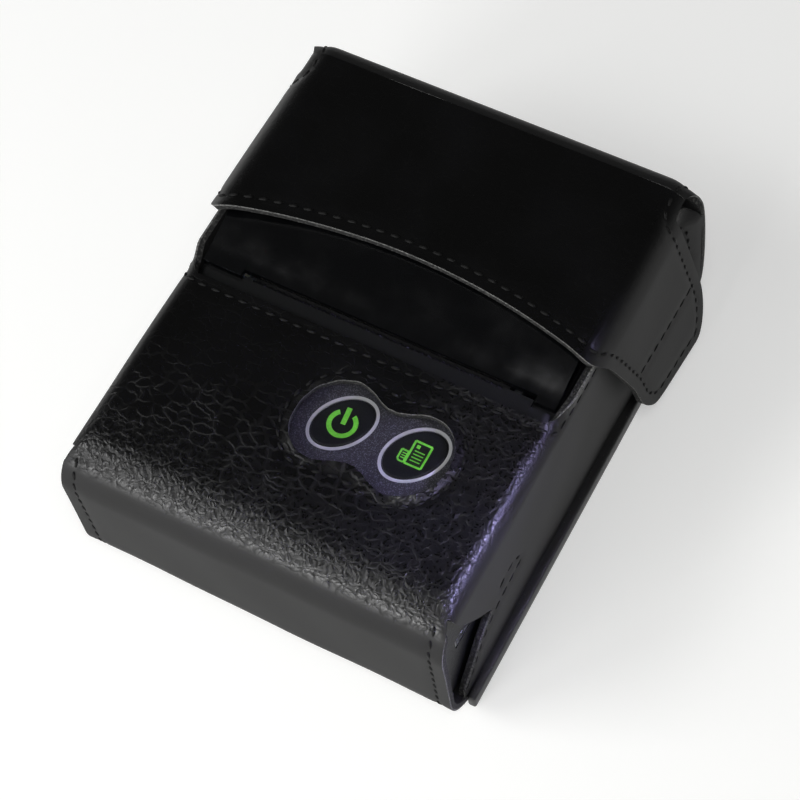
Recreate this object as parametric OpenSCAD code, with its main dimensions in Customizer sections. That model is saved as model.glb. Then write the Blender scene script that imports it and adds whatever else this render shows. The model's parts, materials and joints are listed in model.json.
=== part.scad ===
// Portable thermal printer in a sewn leather case, lying on its back cover.
// Origin at the bottom centre; +X to the right, +Y to the flap end, +Z up. Millimetres.

/* [Printer body] */
// Room inside and in the walls beside the paper, on each side
side_room = 10.5; // [10:0.1:13]
// Length of the plastic housing
body_l = 102.4; // [102.4:0.2:108]
// Height of the housing under the front panel
body_h = 37.2; // [37:0.1:39]
// Height of the joint line between the lower and the upper housing
split_h = 20; // [19:0.5:22]
// Wall of the housings
wall = 1.8; // [1.6:0.1:2.2]
// Rounding of the front edges of the housing, seen from the side
body_nose_r = 9; // [7:0.5:9.5]
// Rounding of the upper side edges of the housing
body_edge_r = 2.2; // [1:0.1:2.5]

/* [Leather case] */
// Thickness of the leather
leather_t = 1.5; // [1.2:0.1:1.8]
// Room between the leather and the housing, front, back and top
case_gap = 0.3; // [0.2:0.1:0.5]
// Room between the leather and the housing at each side
side_gap = 1; // [0.8:0.1:1.6]
// Thickness of the stiffened base with its binding
base_t = 4; // [3.4:0.1:5]
// How far the base binding stands out past the side walls
band_w = 1.8; // [1.2:0.1:2.4]
// Distance of the binding's front end from the front of the case
band_front = 5.6; // [4:0.2:8]
// Outer rounding of the front panel's upper fold
nose_top_r = 11; // [10.5:0.5:13]
// Outer rounding of the front panel's lower fold
nose_low_r = 12; // [11:0.5:14]
// Outer rounding of the folds along the top panel's sides
fold_r = 4; // [3:0.5:5]
// Distance of the top panel's free edge from the front of the case
panel_l = 48.2; // [47:0.2:49]
// Rounding of the corners at the ends of that edge
panel_corner_r = 2.5; // [1:0.5:4]
// Rounding of the side walls' upper rear corners
wall_corner_r = 14; // [8:1:18]

/* [Corner slits] */
// Height of the slit's upper end at the front
slit_top = 38; // [34:1:39]
// Height of the slit's lower end at the front
slit_low = 6; // [5:0.5:10]
// Distance of the slit's inner tip from the front of the case
slit_l = 18.5; // [14:0.5:24]
// Height of the slit's inner tip
slit_tip_h = 20; // [16:1:26]

/* [Flap] */
// Room between the lid and the flap
flap_gap = 0.4; // [0.3:0.1:1]
// Distance of the flap's front edge at the sides from the front of the case
flap_front = 60.3; // [58:0.2:63]
// Depth of the arc in the flap's front edge
flap_arc = 7; // [4:0.5:9]
// Rounding of the folds between the flap's top and its ears
flap_fold_r = 6.5; // [5:0.5:8]
// Room between the flap's ears and the side walls, under the fold
ear_gap = 0.6; // [0.5:0.1:1.2]
// How far the ears flare out, in degrees
ear_flare = 7; // [4:0.5:9]
// Height of the ears' lower edges above the ground
ear_low = 1.2; // [0.8:0.1:4]
// How far the ears' front edges slant back on their way down
ear_slant = 16.2; // [8:0.2:20]
// Width of the back strip and of the flap's hinge line
strip_w = 76; // [72:1:77]
// Outer rounding of the fold between the back strip and the flap
back_fold_r = 4; // [3:0.5:5]

/* [Fastening patches] */
// Length of the hook and loop patches
patch_l = 19; // [14:1:21]
// Height of the patches
patch_h = 15; // [10:1:17]
// Thickness of each patch
patch_t = 0.8; // [0.6:0.1:1]

/* [Button window] */
// Place of the left lobe's centre, right of the middle of the case
lobe_left_x = 2.55; // [2.2:0.05:2.8]
// Place of the left lobe's centre, in front of the middle of the case
lobe_left_y = -21.5; // [-21.8:0.1:-21.2]
// Place of the right lobe's centre, right of the middle of the case
lobe_right_x = 18.95; // [18.7:0.05:19.2]
// Place of the right lobe's centre, in front of the middle of the case
lobe_right_y = -21.9; // [-22.2:0.1:-21.6]
// Long half of each lobe
lobe_long = 9.2; // [8.9:0.1:9.4]
// Short half of each lobe
lobe_short = 7.7; // [7.5:0.1:7.9]
// Tilt of the lobes, in degrees
lobe_tilt = 70; // [66:2:74]
// Half height of the neck between the lobes
neck_h = 6.8; // [6.4:0.1:7]

/* [Keys] */
// Place of the power key, right of the middle of the case
power_x = 3.45; // [3.2:0.05:3.7]
// Place of the feed key, right of the middle of the case
feed_x = 19; // [18.8:0.05:19.2]
// Place of both keys, in front of the middle of the case
key_y = -20.3; // [-20.6:0.1:-20]
// Long half of the keys
key_long = 6.45; // [6:0.05:6.6]
// Short half of the keys
key_short = 4.45; // [4:0.05:4.6]
// Tilt of the keys, in degrees
key_tilt = 52; // [46:2:58]
// Running gap around each key
key_gap = 0.15; // [0.1:0.05:0.2]
// How far a key goes down
key_travel = 0.6; // [0.4:0.1:0.8]
// Width of the ring around each key
ring_w = 0.65; // [0.4:0.05:0.8]
// Thickness of the ring
ring_t = 0.3; // [0.2:0.05:0.4]
// Thickness of the faceplate
plate_t = 0.8; // [0.6:0.1:1]
// Depth of the faceplate's surface under the top of the housing
plate_sink = 0.8; // [0.5:0.1:1]

/* [Paper lid] */
// Place of the paper exit, from the middle of the printer
exit_y = 0; // [-0.5:0.1:0.5]
// Height of the lid's top over the bottom of the housing
lid_h = 42.1; // [41.8:0.1:43]
// How much lower the lid's front edge is than its top
lid_drop = 3.9; // [3:0.1:4.2]
// Length of the lid's curved front part
lid_curve_l = 24; // [20:1:28]
// Wall of the lid
lid_t = 1.6; // [1.4:0.1:1.8]
// Radius of the lid's rolled rear end around its hinge
lid_roll_r = 4.8; // [4.4:0.1:5]
// Radius of the hinge pins
hinge_pin_r = 1.25; // [1:0.05:1.4]
// Running gap of pins and shafts in their holes
run_gap = 0.05; // [0.03:0.01:0.1]
// Width of the paper exit slot
slot_w = 0.8; // [0.6:0.1:1]
// How far the lid's front corners stand forward
tab_l = 1.5; // [1:0.1:2]
// Width of the left front corner, over the gears
tab_left_w = 9; // [8:0.5:10]
// Width of the right front corner
tab_right_w = 4.6; // [4:0.2:6]

/* [Paper] */
// Width of the paper roll
paper_w = 57; // [56:0.5:57.5]
// Room between the full paper roll and its cradle
roll_room = 2; // [1.4:0.1:4]
// Outer radius of the roll's core
core_r = 5.6; // [5.2:0.1:7]
// Radius of the core's bore
core_bore_r = 4.4; // [4:0.1:4.8]
// Room in front of the cradle and behind it
cradle_room = 1.3; // [1:0.05:1.6]
// Wall of the cradle
cradle_t = 1.5; // [1.2:0.1:1.6]

/* [Print mechanism] */
// Radius of the platen roller
platen_r = 4.5; // [4.2:0.1:4.6]
// How much shorter the platen roller is than the paper is wide
platen_short = 1; // [0.6:0.1:3]
// Height of the platen's axis over the bottom of the housing
platen_h = 32.4; // [32:0.1:32.6]
// Radius of the platen's shaft
shaft_r = 1.5; // [1.2:0.1:1.6]
// Room for the paper between the platen and the print head
nip_gap = 0.3; // [0.25:0.05:0.4]
// Outer radius of the platen's bushings
bush_r = 2.6; // [2.3:0.1:2.8]
// Thickness of the frame's plates
frame_t = 1.6; // [1.2:0.1:1.8]
// Module of the gears
gear_m = 0.5; // [0.5:0.5:0.5]
// Teeth of the platen's gear
platen_teeth = 18; // [17:1:18]
// Teeth of the idler gear
idler_teeth = 26; // [25:1:26]
// Teeth of the motor's pinion
pinion_teeth = 12; // [12:1:13]
// Width of the gears
gear_w = 2.6; // [2:0.2:2.8]
// Direction from the idler to the motor, in degrees
motor_dir = 225; // [222:1:228]
// Radius of the stepper motor's can
motor_r = 6.4; // [5.6:0.1:6.6]
// Length of the stepper motor's can
motor_l = 12; // [10:0.5:16]
// Radius of the idler's pin
idler_pin_r = 1.2; // [1:0.05:1.4]
// Radius of the motor's shaft
motor_shaft_r = 0.75; // [0.5:0.05:0.9]
// Height of the thermal head
head_h = 6.9; // [6:0.1:7]
// Thickness of the head's ceramic strip
head_t = 1; // [0.6:0.1:1.2]
// Thickness of the heat sink
sink_t = 2.5; // [2:0.1:3]
// Height of the heat sink
sink_h = 10.4; // [9.6:0.1:10.6]
// Radius of the head springs
spring_r = 2; // [1.5:0.1:2.4]

/* [Electronics] */
// Thickness of the circuit boards
board_t = 1.4; // [1:0.1:1.6]
// Height of the main board over the bottom of the housing
board_h = 15; // [14.6:0.1:15.4]
// Width of the battery pack
battery_w = 56; // [44:1:58]
// Room between the battery pack and the print mechanism
battery_room = 1.6; // [1.4:0.1:6]
// Height of the battery pack
battery_h = 9; // [7:0.5:9]
// Width of the charging socket
usb_w = 7.6; // [6:0.2:9]
// Height of the charging socket
usb_h = 2.8; // [2.4:0.1:3.2]
// Distance of the charging socket's middle from the front of the housing
usb_y = 10.5; // [9:0.5:12]
// Radius of the screws' shanks
screw_r = 1; // [0.8:0.05:1.1]
// Radius of the screws' heads
screw_head_r = 1.9; // [1.6:0.1:2]

/* [Hidden] */
$fn = 64;
eps = 0.01;
fit = 0.02;          // play between pieces that sit in each other
far = 200;           // longer than the whole printer

// Case around the housing
body_w = paper_w + 2 * side_room;
case_in_w = body_w / 2 + side_gap;
case_x = case_in_w + leather_t;
case_front = -body_l / 2 - case_gap - leather_t;
case_rear = -case_front;
base_z = base_t;
panel_z = base_z + body_h + case_gap + leather_t;
panel_y = case_front + panel_l;
base_front = case_front + nose_low_r;
board_x = case_x + band_w;
low_fold_r = leather_t + 0.5;
pouch_rear = case_rear - low_fold_r;

// Flap over the lid
lid_z = base_z + lid_h;
flap_in_z = lid_z + flap_gap;
flap_z = flap_in_z + leather_t;
flap_x = case_x + ear_gap + leather_t;
flap_y = case_front + flap_front;
flap_cx = flap_x - flap_fold_r;
flap_cz = flap_z - flap_fold_r;
ear_end = [flap_cx + flap_fold_r * cos(ear_flare), flap_cz - flap_fold_r * sin(ear_flare)];
ear_low_x = ear_end.x + (ear_end.y - ear_low) * tan(ear_flare);
back_c = [case_rear - back_fold_r, flap_z - back_fold_r];
fold_cut = 1;        // degrees left free on each side of a hinge line
patch_low = base_z + 2;
patch_rear = case_rear - 7;

// Housing
body_x = body_w / 2;
body_front = -body_l / 2;
body_rear = body_l / 2;
body_top = base_z + body_h;
floor_z = base_z + wall;
split_z = base_z + split_h;
rail_z = body_top - 0.6;
lid_front = exit_y + slot_w / 4;
house_end = lid_front - slot_w;
lid_x = body_x - 0.3;
lid_in_x = body_x - wall - 0.3;
skirt_t = 1.6;
pivot = [body_rear - lid_roll_r - 0.2, lid_z - lid_roll_r];
lid_arc_r = (lid_curve_l * lid_curve_l + lid_drop * lid_drop) / (2 * lid_drop);

// Keys
lobe_left = [lobe_left_x, lobe_left_y];
lobe_right = [lobe_right_x, lobe_right_y];
power_at = [power_x, key_y];
feed_at = [feed_x, key_y];
plate_z = body_top - plate_sink;
pad_z = plate_z - plate_t - 1.4;
flange_t = 0.8;
flange_top = pad_z - 0.1;
stem_z = flange_top - flange_t - 0.4;
switch_z = stem_z - key_travel - 0.1;
switch_h = 3;
button_board_z = switch_z - switch_h - board_t;
button_post_x = [power_x - 6, feed_x + 7];
button_post_y = [key_y - 10, key_y + 7.8];

// Print mechanism
platen_c = [exit_y + platen_r + 0.1, base_z + platen_h];
platen_pr = gear_m * platen_teeth / 2;
idler_pr = gear_m * idler_teeth / 2;
pinion_pr = gear_m * pinion_teeth / 2;
idler_c = [platen_c.x, platen_c.y - platen_pr - idler_pr];
motor_c = [idler_c.x + (idler_pr + pinion_pr) * cos(motor_dir),
    idler_c.y + (idler_pr + pinion_pr) * sin(motor_dir)];
frame_x = paper_w / 2 + 0.2;
frame_out = frame_x + frame_t;
gear_x = frame_out + 0.7;
gear_end = gear_x + gear_w;
cheek_t = 1.8;
cheek_x = lid_in_x - 0.4 - cheek_t;
nip_y = platen_c.x - platen_r;
head_face = nip_y - nip_gap;
head_top = platen_c.y + 2;
sink_face = head_face - head_t;
sink_back = sink_face - sink_t;
head_pin_r = 0.75;
head_pin_c = [sink_face - sink_t / 2, head_top - sink_h + 1.3];
head_x = paper_w / 2 - 1;
frame_low = base_z + 5.5;
spring_l = 5.3;
bar_face = sink_back - spring_l;
frame_back = bar_face - frame_t;
guide_z = head_top - sink_h - frame_t - 0.2;
frame_rear = platen_c.x + 5.2;

// Paper
platen_l = paper_w - platen_short;
cradle_r = (body_rear - wall - frame_rear) / 2 - cradle_room - cradle_t;
roll_r = cradle_r - roll_room;
cradle_c = [body_rear - wall - cradle_t - cradle_r - cradle_room, floor_z + 0.2 + cradle_t + cradle_r];
roll_c = [cradle_c.x, cradle_c.y - cradle_r + roll_r + 0.1];

// Electronics
board_z = base_z + board_h;
board_front = body_front + 6;
board_rear = frame_back - 3;
board_x_half = body_x - wall - 1.2;
battery_front = body_front + 9;
battery = [battery_w, frame_back - battery_room - battery_front, battery_h];
door_margin = 1;
usb_c = [body_front + usb_y, board_z + board_t + usb_h / 2];
boss_r = 2.8;
boss_x = body_x - 5.8;
post_x = body_x - 8;
boss_at = [[boss_x, (board_front + 2 * board_rear) / 3], [boss_x, body_rear - 5.2]];
board_post_at = [[post_x, board_front + 3], [post_x, board_rear - 3]];
mech_screw_at = [frame_x - 4.5, frame_rear - 3];

// Turns a flat drawing in Y and Z into a solid from x0 to x1
module along_x(x0, x1) {
    translate([x0, 0, 0]) rotate([90, 0, 90]) linear_extrude(x1 - x0) children();
}

// Turns a flat drawing in X and Z into a solid from y0 to y1
module along_y(y0, y1) {
    translate([0, y1, 0]) rotate([90, 0, 0]) linear_extrude(y1 - y0) children();
}

module along_z(z0, z1) {
    translate([0, 0, z0]) linear_extrude(z1 - z0) children();
}

module box(low, high) {
    translate(low) cube(high - low);
}

module both_sides() {
    children();
    mirror([1, 0, 0]) children();
}

// A pin along X between two places, around the point c in Y and Z
module rod_x(x0, x1, c, r) {
    translate([x0, c.x, c.y]) rotate([0, 90, 0]) cylinder(h = x1 - x0, r = r);
}

module rod_z(c, z0, z1, r) {
    translate([c.x, c.y, z0]) cylinder(h = z1 - z0, r = r);
}

// What a rounding of radius r takes off a corner that points to the lower left
module nick(r) {
    difference() {
        translate([-1, -1]) square(r + 1);
        translate([r, r]) circle(r);
    }
}

// A side view with rounded front corners, from y0 to y1 and from z0 to z1
module nose_side(y0, y1, z0, z1, r_top, r_low) {
    difference() {
        translate([y0, z0]) square([y1 - y0, z1 - z0]);
        translate([y0, z1]) mirror([0, 1]) nick(r_top);
        translate([y0, z0]) nick(r_low);
    }
}

// A front view with rounded upper corners
module arch_front(x, z0, z1, r) {
    difference() {
        translate([-x, z0]) square([2 * x, z1 - z0]);
        translate([-x, z1]) mirror([0, 1]) nick(r);
        translate([x, z1]) mirror([1, 1]) nick(r);
    }
}

// Points on a smooth bend from a to c that leans towards b
function bend(a, b, c, n = 8) = [for (i = [0 : n]) let (t = i / n)
    a * (1 - t) * (1 - t) + b * 2 * t * (1 - t) + c * t * t];

// Points of an ellipse around c, its long axis turned by the angle
function oval(c, long, short, turn, n = 48) = [for (i = [0 : n - 1]) let (t = 360 * i / n)
    [c.x + long * cos(t) * cos(turn) - short * sin(t) * sin(turn),
     c.y + long * cos(t) * sin(turn) + short * sin(t) * cos(turn)]];

// Points on an arc around c
function arc(c, r, from, to, n = 12) = [for (i = [0 : n]) let (t = from + (to - from) * i / n)
    [c.x + r * cos(t), c.y + r * sin(t)]];

// The window's outline: two lobes and a drawn-in neck, grown all round
module window_shape(grow = 0) {
    neck_r = 12;
    neck_off = 0.7;
    polygon(oval(lobe_left, lobe_long + grow, lobe_short + grow, lobe_tilt));
    polygon(oval(lobe_right, lobe_long + grow, lobe_short + grow, lobe_tilt));
    translate((lobe_left + lobe_right) / 2) for (turn = [0, 180]) rotate(turn) difference() {
        translate([neck_off - 4, -eps]) square([8, neck_h + 1 + grow]);
        translate([neck_off, neck_h + neck_r]) circle(neck_r - grow);
    }
}

module key_shape(at, grow = 0) {
    polygon(oval(at, key_long + grow, key_short + grow, key_tilt));
}

// Involute gear in the Y and Z plane, with a tooth at the angle turn
function roll_angle(a) = tan(a) * 180 / PI - a;
module gear_shape(teeth, turn) {
    pitch_r = gear_m * teeth / 2;
    base_r = pitch_r * cos(20);
    tip_r = pitch_r + 0.9 * gear_m;
    root_r = pitch_r - 1.15 * gear_m;
    play = 0.045 / pitch_r * 180 / PI;
    half = 90 / teeth - play + roll_angle(20);
    rising = [root_r, base_r, (base_r + tip_r) / 2, tip_r];
    falling = [tip_r, (base_r + tip_r) / 2, base_r, root_r];
    function flank(r) = half - roll_angle(acos(min(1, base_r / r)));
    polygon([for (i = [0 : teeth - 1]) let (mid = turn + 360 * i / teeth) each concat(
        [for (r = rising) [r * cos(mid - flank(r)), r * sin(mid - flank(r))]],
        [for (r = falling) [r * cos(mid + flank(r)), r * sin(mid + flank(r))]])]);
}

// Outside of the pouch: rounded nose, folded sides in front, upright walls behind
module pouch_outside() {
    intersection() {
        along_x(-case_x, case_x)
            nose_side(case_front, case_rear, 0, panel_z, nose_top_r, nose_low_r);
        union() {
            along_y(case_front, panel_y) arch_front(case_x, 0, panel_z, fold_r);
            box([-case_x, panel_y - eps, 0], [case_x, pouch_rear, panel_z]);
        }
    }
}

module pouch_inside() {
    intersection() {
        along_x(-case_in_w, case_in_w) pouch_inside_side();
        union() {
            along_y(case_front, panel_y) arch_front(case_in_w, 0, panel_z - leather_t, fold_r - leather_t);
            box([-case_in_w, panel_y - eps, 0], [case_in_w, far, far]);
        }
    }
}

module pouch_inside_side() {
    nose_side(case_front + leather_t, far, leather_t, panel_z - leather_t,
        nose_top_r - leather_t, nose_low_r - leather_t);
}

// The slit at each front corner, cut out of the side wall only
module corner_slits() {
    intersection() {
        both_sides() along_x(case_in_w - eps, case_x + 1) pouch_inside_side();
        along_x(-far, far) polygon(concat([[case_front, slit_low - 1], [case_front, slit_top]],
            bend([case_front + 5.5, slit_top], [case_front + 8, slit_top - 6],
                [case_front + slit_l, slit_tip_h]),
            bend([case_front + slit_l - 0.5, slit_tip_h - 0.8],
                [case_front + slit_l - 7, slit_tip_h - 1.5], [case_front + 4, slit_low])));
    }
}

module case_pouch() color([0.06, 0.06, 0.065]) {
    pouch_leather();
    along_x(-strip_w / 2, strip_w / 2)
        fold_sector([case_rear - low_fold_r, low_fold_r], low_fold_r, -90.5, -45 - fold_cut);
}

module pouch_leather() difference() {
    pouch_outside();
    pouch_inside();
    corner_slits();
    // room for the base board between the side walls and the bottom
    both_sides() intersection() {
        along_x(case_in_w - eps, far) pouch_inside_side();
        box([0, case_front, 0], [far, far, base_z]);
    }
    // the opening over the printer's lid
    along_z(panel_z - leather_t - fold_r, far) difference() {
        translate([-case_in_w, panel_y]) square([2 * case_in_w, far]);
        translate([-case_in_w, panel_y]) nick(panel_corner_r);
        translate([case_in_w, panel_y]) mirror([1, 0]) nick(panel_corner_r);
    }
    // rounded upper rear corners of the side walls
    along_x(-far, far) translate([pouch_rear, panel_z]) mirror([1, 1]) nick(wall_corner_r);
    along_z(panel_z - leather_t - 1, far) window_shape();
}

// Stiff board over the bottom leather, bound around both side edges
module case_base_board() color([0.05, 0.05, 0.05]) {
    box([-board_x, base_front, leather_t], [board_x, pouch_rear, base_z]);
    both_sides() box([case_x, case_front + band_front, 0], [board_x, pouch_rear, base_z]);
}

// The back strip stands behind the printer and folds down at the base
module case_back() color([0.06, 0.06, 0.065]) along_x(-strip_w / 2, strip_w / 2) {
    translate([case_rear - leather_t, low_fold_r]) square([leather_t, back_c.y - low_fold_r]);
    fold_sector([case_rear - low_fold_r, low_fold_r], low_fold_r, -45 + fold_cut, 0);
    fold_sector(back_c, back_fold_r, 0, 45 - fold_cut);
}

// A bent piece of leather, between two angles
module fold_sector(c, r, from, to) {
    polygon(concat(arc(c, r, from, to), arc(c, r - leather_t, to, from)));
}

// Front view of the flap: flat top, round folds and flaring ears
module flap_front_view() {
    half_out = concat([[0, flap_z]], arc([flap_cx, flap_cz], flap_fold_r, 90, -ear_flare, 16),
        [[ear_low_x, ear_low]]);
    half_in = concat([[ear_low_x - leather_t / cos(ear_flare), ear_low]],
        arc([flap_cx, flap_cz], flap_fold_r - leather_t, -ear_flare, 90, 16), [[0, flap_in_z]]);
    half = concat(half_out, half_in);
    polygon(half);
    mirror([1, 0]) polygon(half);
}

module flap_plan() {
    corner_r = flap_x - strip_w / 2;
    corner_y = back_c.x - corner_r;
    polygon(concat(
        [for (i = [-20 : 20]) let (u = i / 20) [u * flap_x, flap_y + flap_arc * (1 - u * u)]],
        [[far, flap_y], [far, corner_y]], arc([strip_w / 2, corner_y], corner_r, 0, 90, 6),
        arc([-strip_w / 2, corner_y], corner_r, 90, 180, 6), [[-far, corner_y], [-far, flap_y]]));
}

// Side view of an ear: slanting front edge, rounded foot, rear edge that steps back under the fold
module ear_side() {
    foot_y = flap_y + ear_slant;
    polygon(concat([[flap_y - 0.4, flap_z + 1]],
        bend([foot_y, ear_low + 8], [foot_y + 0.6, ear_low], [foot_y + 7, ear_low]),
        bend([case_rear - 9, ear_low], [case_rear - 2, ear_low], [case_rear - 2, ear_low + 12]),
        bend([case_rear - 4, ear_low + 20], [case_rear - 9, flap_z - 8], [case_rear - 10, flap_z - 3]),
        [[case_rear - 8, flap_z + 1]]));
}

module case_flap() color([0.06, 0.06, 0.065]) {
    intersection() {
        along_y(flap_y - 5, case_rear) flap_front_view();
        union() {
            along_z(flap_cz - eps, far) flap_plan();
            intersection() {
                along_x(-far, far) ear_side();
                box([-far, -far, 0], [far, far, flap_cz]);
            }
        }
    }
    along_x(-strip_w / 2, strip_w / 2) fold_sector(back_c, back_fold_r, 45 + fold_cut, 90);
}

module loop_patches() color([0.12, 0.12, 0.12]) both_sides() along_x(case_x, case_x + patch_t)
    patch_side();

module patch_side() {
    difference() {
        translate([patch_rear - patch_l, patch_low]) square([patch_l, patch_h]);
        translate([patch_rear - patch_l, patch_low]) nick(3);
    }
}

// Patches on the inner faces of the ears, leaning with them
module hook_patches() color([0.12, 0.12, 0.12]) both_sides()
    translate([ear_low_x - leather_t / cos(ear_flare), 0, ear_low])
        rotate([0, -ear_flare, 0]) translate([0, 0, -ear_low])
            along_x(-patch_t, 0) patch_side();

// Side view of the whole housing with its rounded nose
module body_side(grow = 0) {
    nose_side(body_front + grow, body_rear - grow, base_z + grow, body_top - grow,
        body_nose_r - grow, body_nose_r - grow);
}

module body_shell(z0, z1) {
    intersection() {
        difference() {
            intersection() {
                along_x(-body_x, body_x) body_side();
                along_y(body_front, body_rear) arch_front(body_x, base_z, body_top, body_edge_r);
            }
            along_x(-body_x + wall, body_x - wall) body_side(wall);
        }
        box([-far, -far, z0], [far, far, z1]);
    }
}

module socket_hole(grow) {
    box([body_x - wall - 1, usb_c.x - usb_w / 2 - grow, usb_c.y - usb_h / 2 - grow],
        [body_x + 1, usb_c.x + usb_w / 2 + grow, usb_c.y + usb_h / 2 + grow]);
}

module door_shape(grow = 0) {
    edge = door_margin - grow;
    translate([-battery.x / 2 - edge, battery_front - edge])
        square([battery.x + 2 * edge, battery.y + 2 * edge]);
}

module lower_housing() color([0.1, 0.1, 0.11]) difference() {
    union() {
        body_shell(base_z, split_z);
        for (at = boss_at) both_sides() rod_z(at, floor_z - eps, split_z, boss_r);
        for (at = board_post_at) both_sides() rod_z(at, floor_z - eps, board_z, boss_r - 0.4);
        both_sides() rod_z(mech_screw_at, floor_z - eps, frame_low, boss_r);
        // ribs in front of and behind the battery
        for (y = [battery_front - door_margin - 1.4, battery_front + battery.y + door_margin + 0.2])
            box([-battery.x / 2, y, floor_z - eps], [battery.x / 2, y + 1.2, floor_z + 3]);
    }
    along_z(base_z - 1, floor_z + 1) door_shape();
    for (at = boss_at) both_sides() rod_z(at, base_z - 1, split_z + 1, screw_r + 0.3);
    for (at = boss_at) both_sides() rod_z(at, base_z - 1, base_z + 2.2, screw_head_r + 0.15);
    for (at = board_post_at) both_sides() rod_z(at, board_z - 5, board_z + 1, screw_r + fit);
    both_sides() rod_z(mech_screw_at, frame_low - 4.4, frame_low + 1, screw_r + fit);
    socket_hole(0.15);
}

module upper_housing() color([0.1, 0.1, 0.11]) difference() {
    union() {
        body_shell(split_z, body_top);
        // pad under the faceplate, with the key holes
        along_z(pad_z, body_top - 1) window_shape(3.4);
        for (at = boss_at) both_sides() rod_z(at, split_z, at.y < 0 ? body_top - 1 : split_z + 8, boss_r);
        // four posts that carry the button board
        for (x = button_post_x, y = button_post_y)
            rod_z([x, y], button_board_z + board_t, body_top - 1, 1.5);
        both_sides() rod_x(body_x - wall, body_x, pivot, 3.4);
        both_sides() box([body_x - wall, pivot.x - 3.4, rail_z - 3], [body_x, pivot.x + 3.4, pivot.y]);
    }
    // the rear half is open under the lid
    box([-body_x + wall, house_end - 1.6, split_z - 1], [body_x - wall, body_rear - wall, body_top - wall]);
    box([-body_x + wall, house_end, split_z - 1], [body_x - wall, body_rear - wall, far]);
    box([-far, house_end, rail_z], [far, pivot.x - 3.4, far]);
    box([-far, pivot.x + 3.4, rail_z], [far, far, far]);
    box([-far, body_rear - wall - 1, lid_z - lid_roll_r * 2 - 0.5], [far, far, far]);
    both_sides() rod_x(body_x - wall - 1, body_x - 0.4, pivot, hinge_pin_r + fit);
    // room for the lid's two front corners
    box([-far, house_end - tab_l, lid_z - lid_drop - lid_t - 0.4], [-body_x + tab_left_w + 0.4, far, far]);
    box([body_x - tab_right_w - 0.4, house_end - tab_l, lid_z - lid_drop - lid_t - 0.4], [far, pivot.x - 3.4, far]);
    along_z(plate_z - plate_t, far) window_shape(2);
    along_z(pad_z - 1, far) key_shape(power_at, key_gap);
    along_z(pad_z - 1, far) key_shape(feed_at, key_gap);
    for (at = boss_at) both_sides() rod_z(at, split_z - 1, split_z + 6, screw_r + fit);
    // seat of the tear blade
    box([-head_x, house_end - 0.5, head_top + 0.4], [head_x, house_end + 1, far]);
}

module battery_door() color([0.1, 0.1, 0.11]) {
    difference() {
        along_z(base_z, floor_z) door_shape(0.15);
        // finger notch
        along_z(base_z - 1, base_z + 0.8) translate([0, battery_front + 3]) square([16, 3], center = true);
    }
}

module button_faceplate() color([0.09, 0.09, 0.13]) difference() {
    along_z(plate_z - plate_t, plate_z) window_shape(1.95);
    for (at = [power_at, feed_at]) {
        along_z(0, far) key_shape(at, key_gap);
        along_z(plate_z - ring_t, far) key_shape(at, key_gap + 0.1 + ring_w);
    }
}

module key_ring(at) color([0.8, 0.8, 0.83]) along_z(plate_z - ring_t, plate_z + 0.05) difference() {
    key_shape(at, key_gap + 0.1 + ring_w - fit);
    key_shape(at, key_gap + 0.1);
}

module power_ring() key_ring(power_at);
module feed_ring() key_ring(feed_at);

module key(at) color([0.08, 0.08, 0.12]) {
    along_z(flange_top - eps, plate_z + 0.1) key_shape(at);
    along_z(flange_top - flange_t, flange_top) key_shape(at, 0.8);
    rod_z(at, stem_z, flange_top - flange_t + eps, 1.2);
}

module power_key() key(power_at);
module feed_key() key(feed_at);

module button_board() color([0.05, 0.2, 0.1]) difference() {
    box([button_post_x[0] - 2, button_post_y[0] - 1.6, button_board_z],
        [button_post_x[1] + 2, button_post_y[1] + 1.4, button_board_z + board_t]);
    for (x = button_post_x, y = button_post_y) rod_z([x, y], 0, far, 0.6);
}

module tact_switches() color([0.2, 0.2, 0.2]) for (at = [power_at, feed_at]) {
    box([at.x - 3, at.y - 3, button_board_z + board_t],
        [at.x + 3, at.y + 3, button_board_z + board_t + switch_h - 1]);
    rod_z(at, button_board_z + board_t + switch_h - 1 - eps, switch_z, 1.6);
}

// Side view of the lid: curved front, flat top and an end rolled around the hinge
function lid_line(inset) = concat(
    [for (i = [0 : 10]) let (y = lid_front + lid_curve_l * i / 10, d = lid_curve_l * (1 - i / 10))
        [y, lid_z - lid_arc_r + sqrt(lid_arc_r * lid_arc_r - d * d) - inset]],
    arc(pivot, lid_roll_r - inset, 90, -35, 14));
function backward(points) = [for (i = [len(points) - 1 : -1 : 0]) points[i]];

module lid_skin() {
    polygon(concat(lid_line(0), backward(lid_line(lid_t))));
}

module lid_body() {
    polygon(concat(lid_line(0), [[pivot.x, pivot.y], [lid_front, rail_z + 0.2]]));
}

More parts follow.
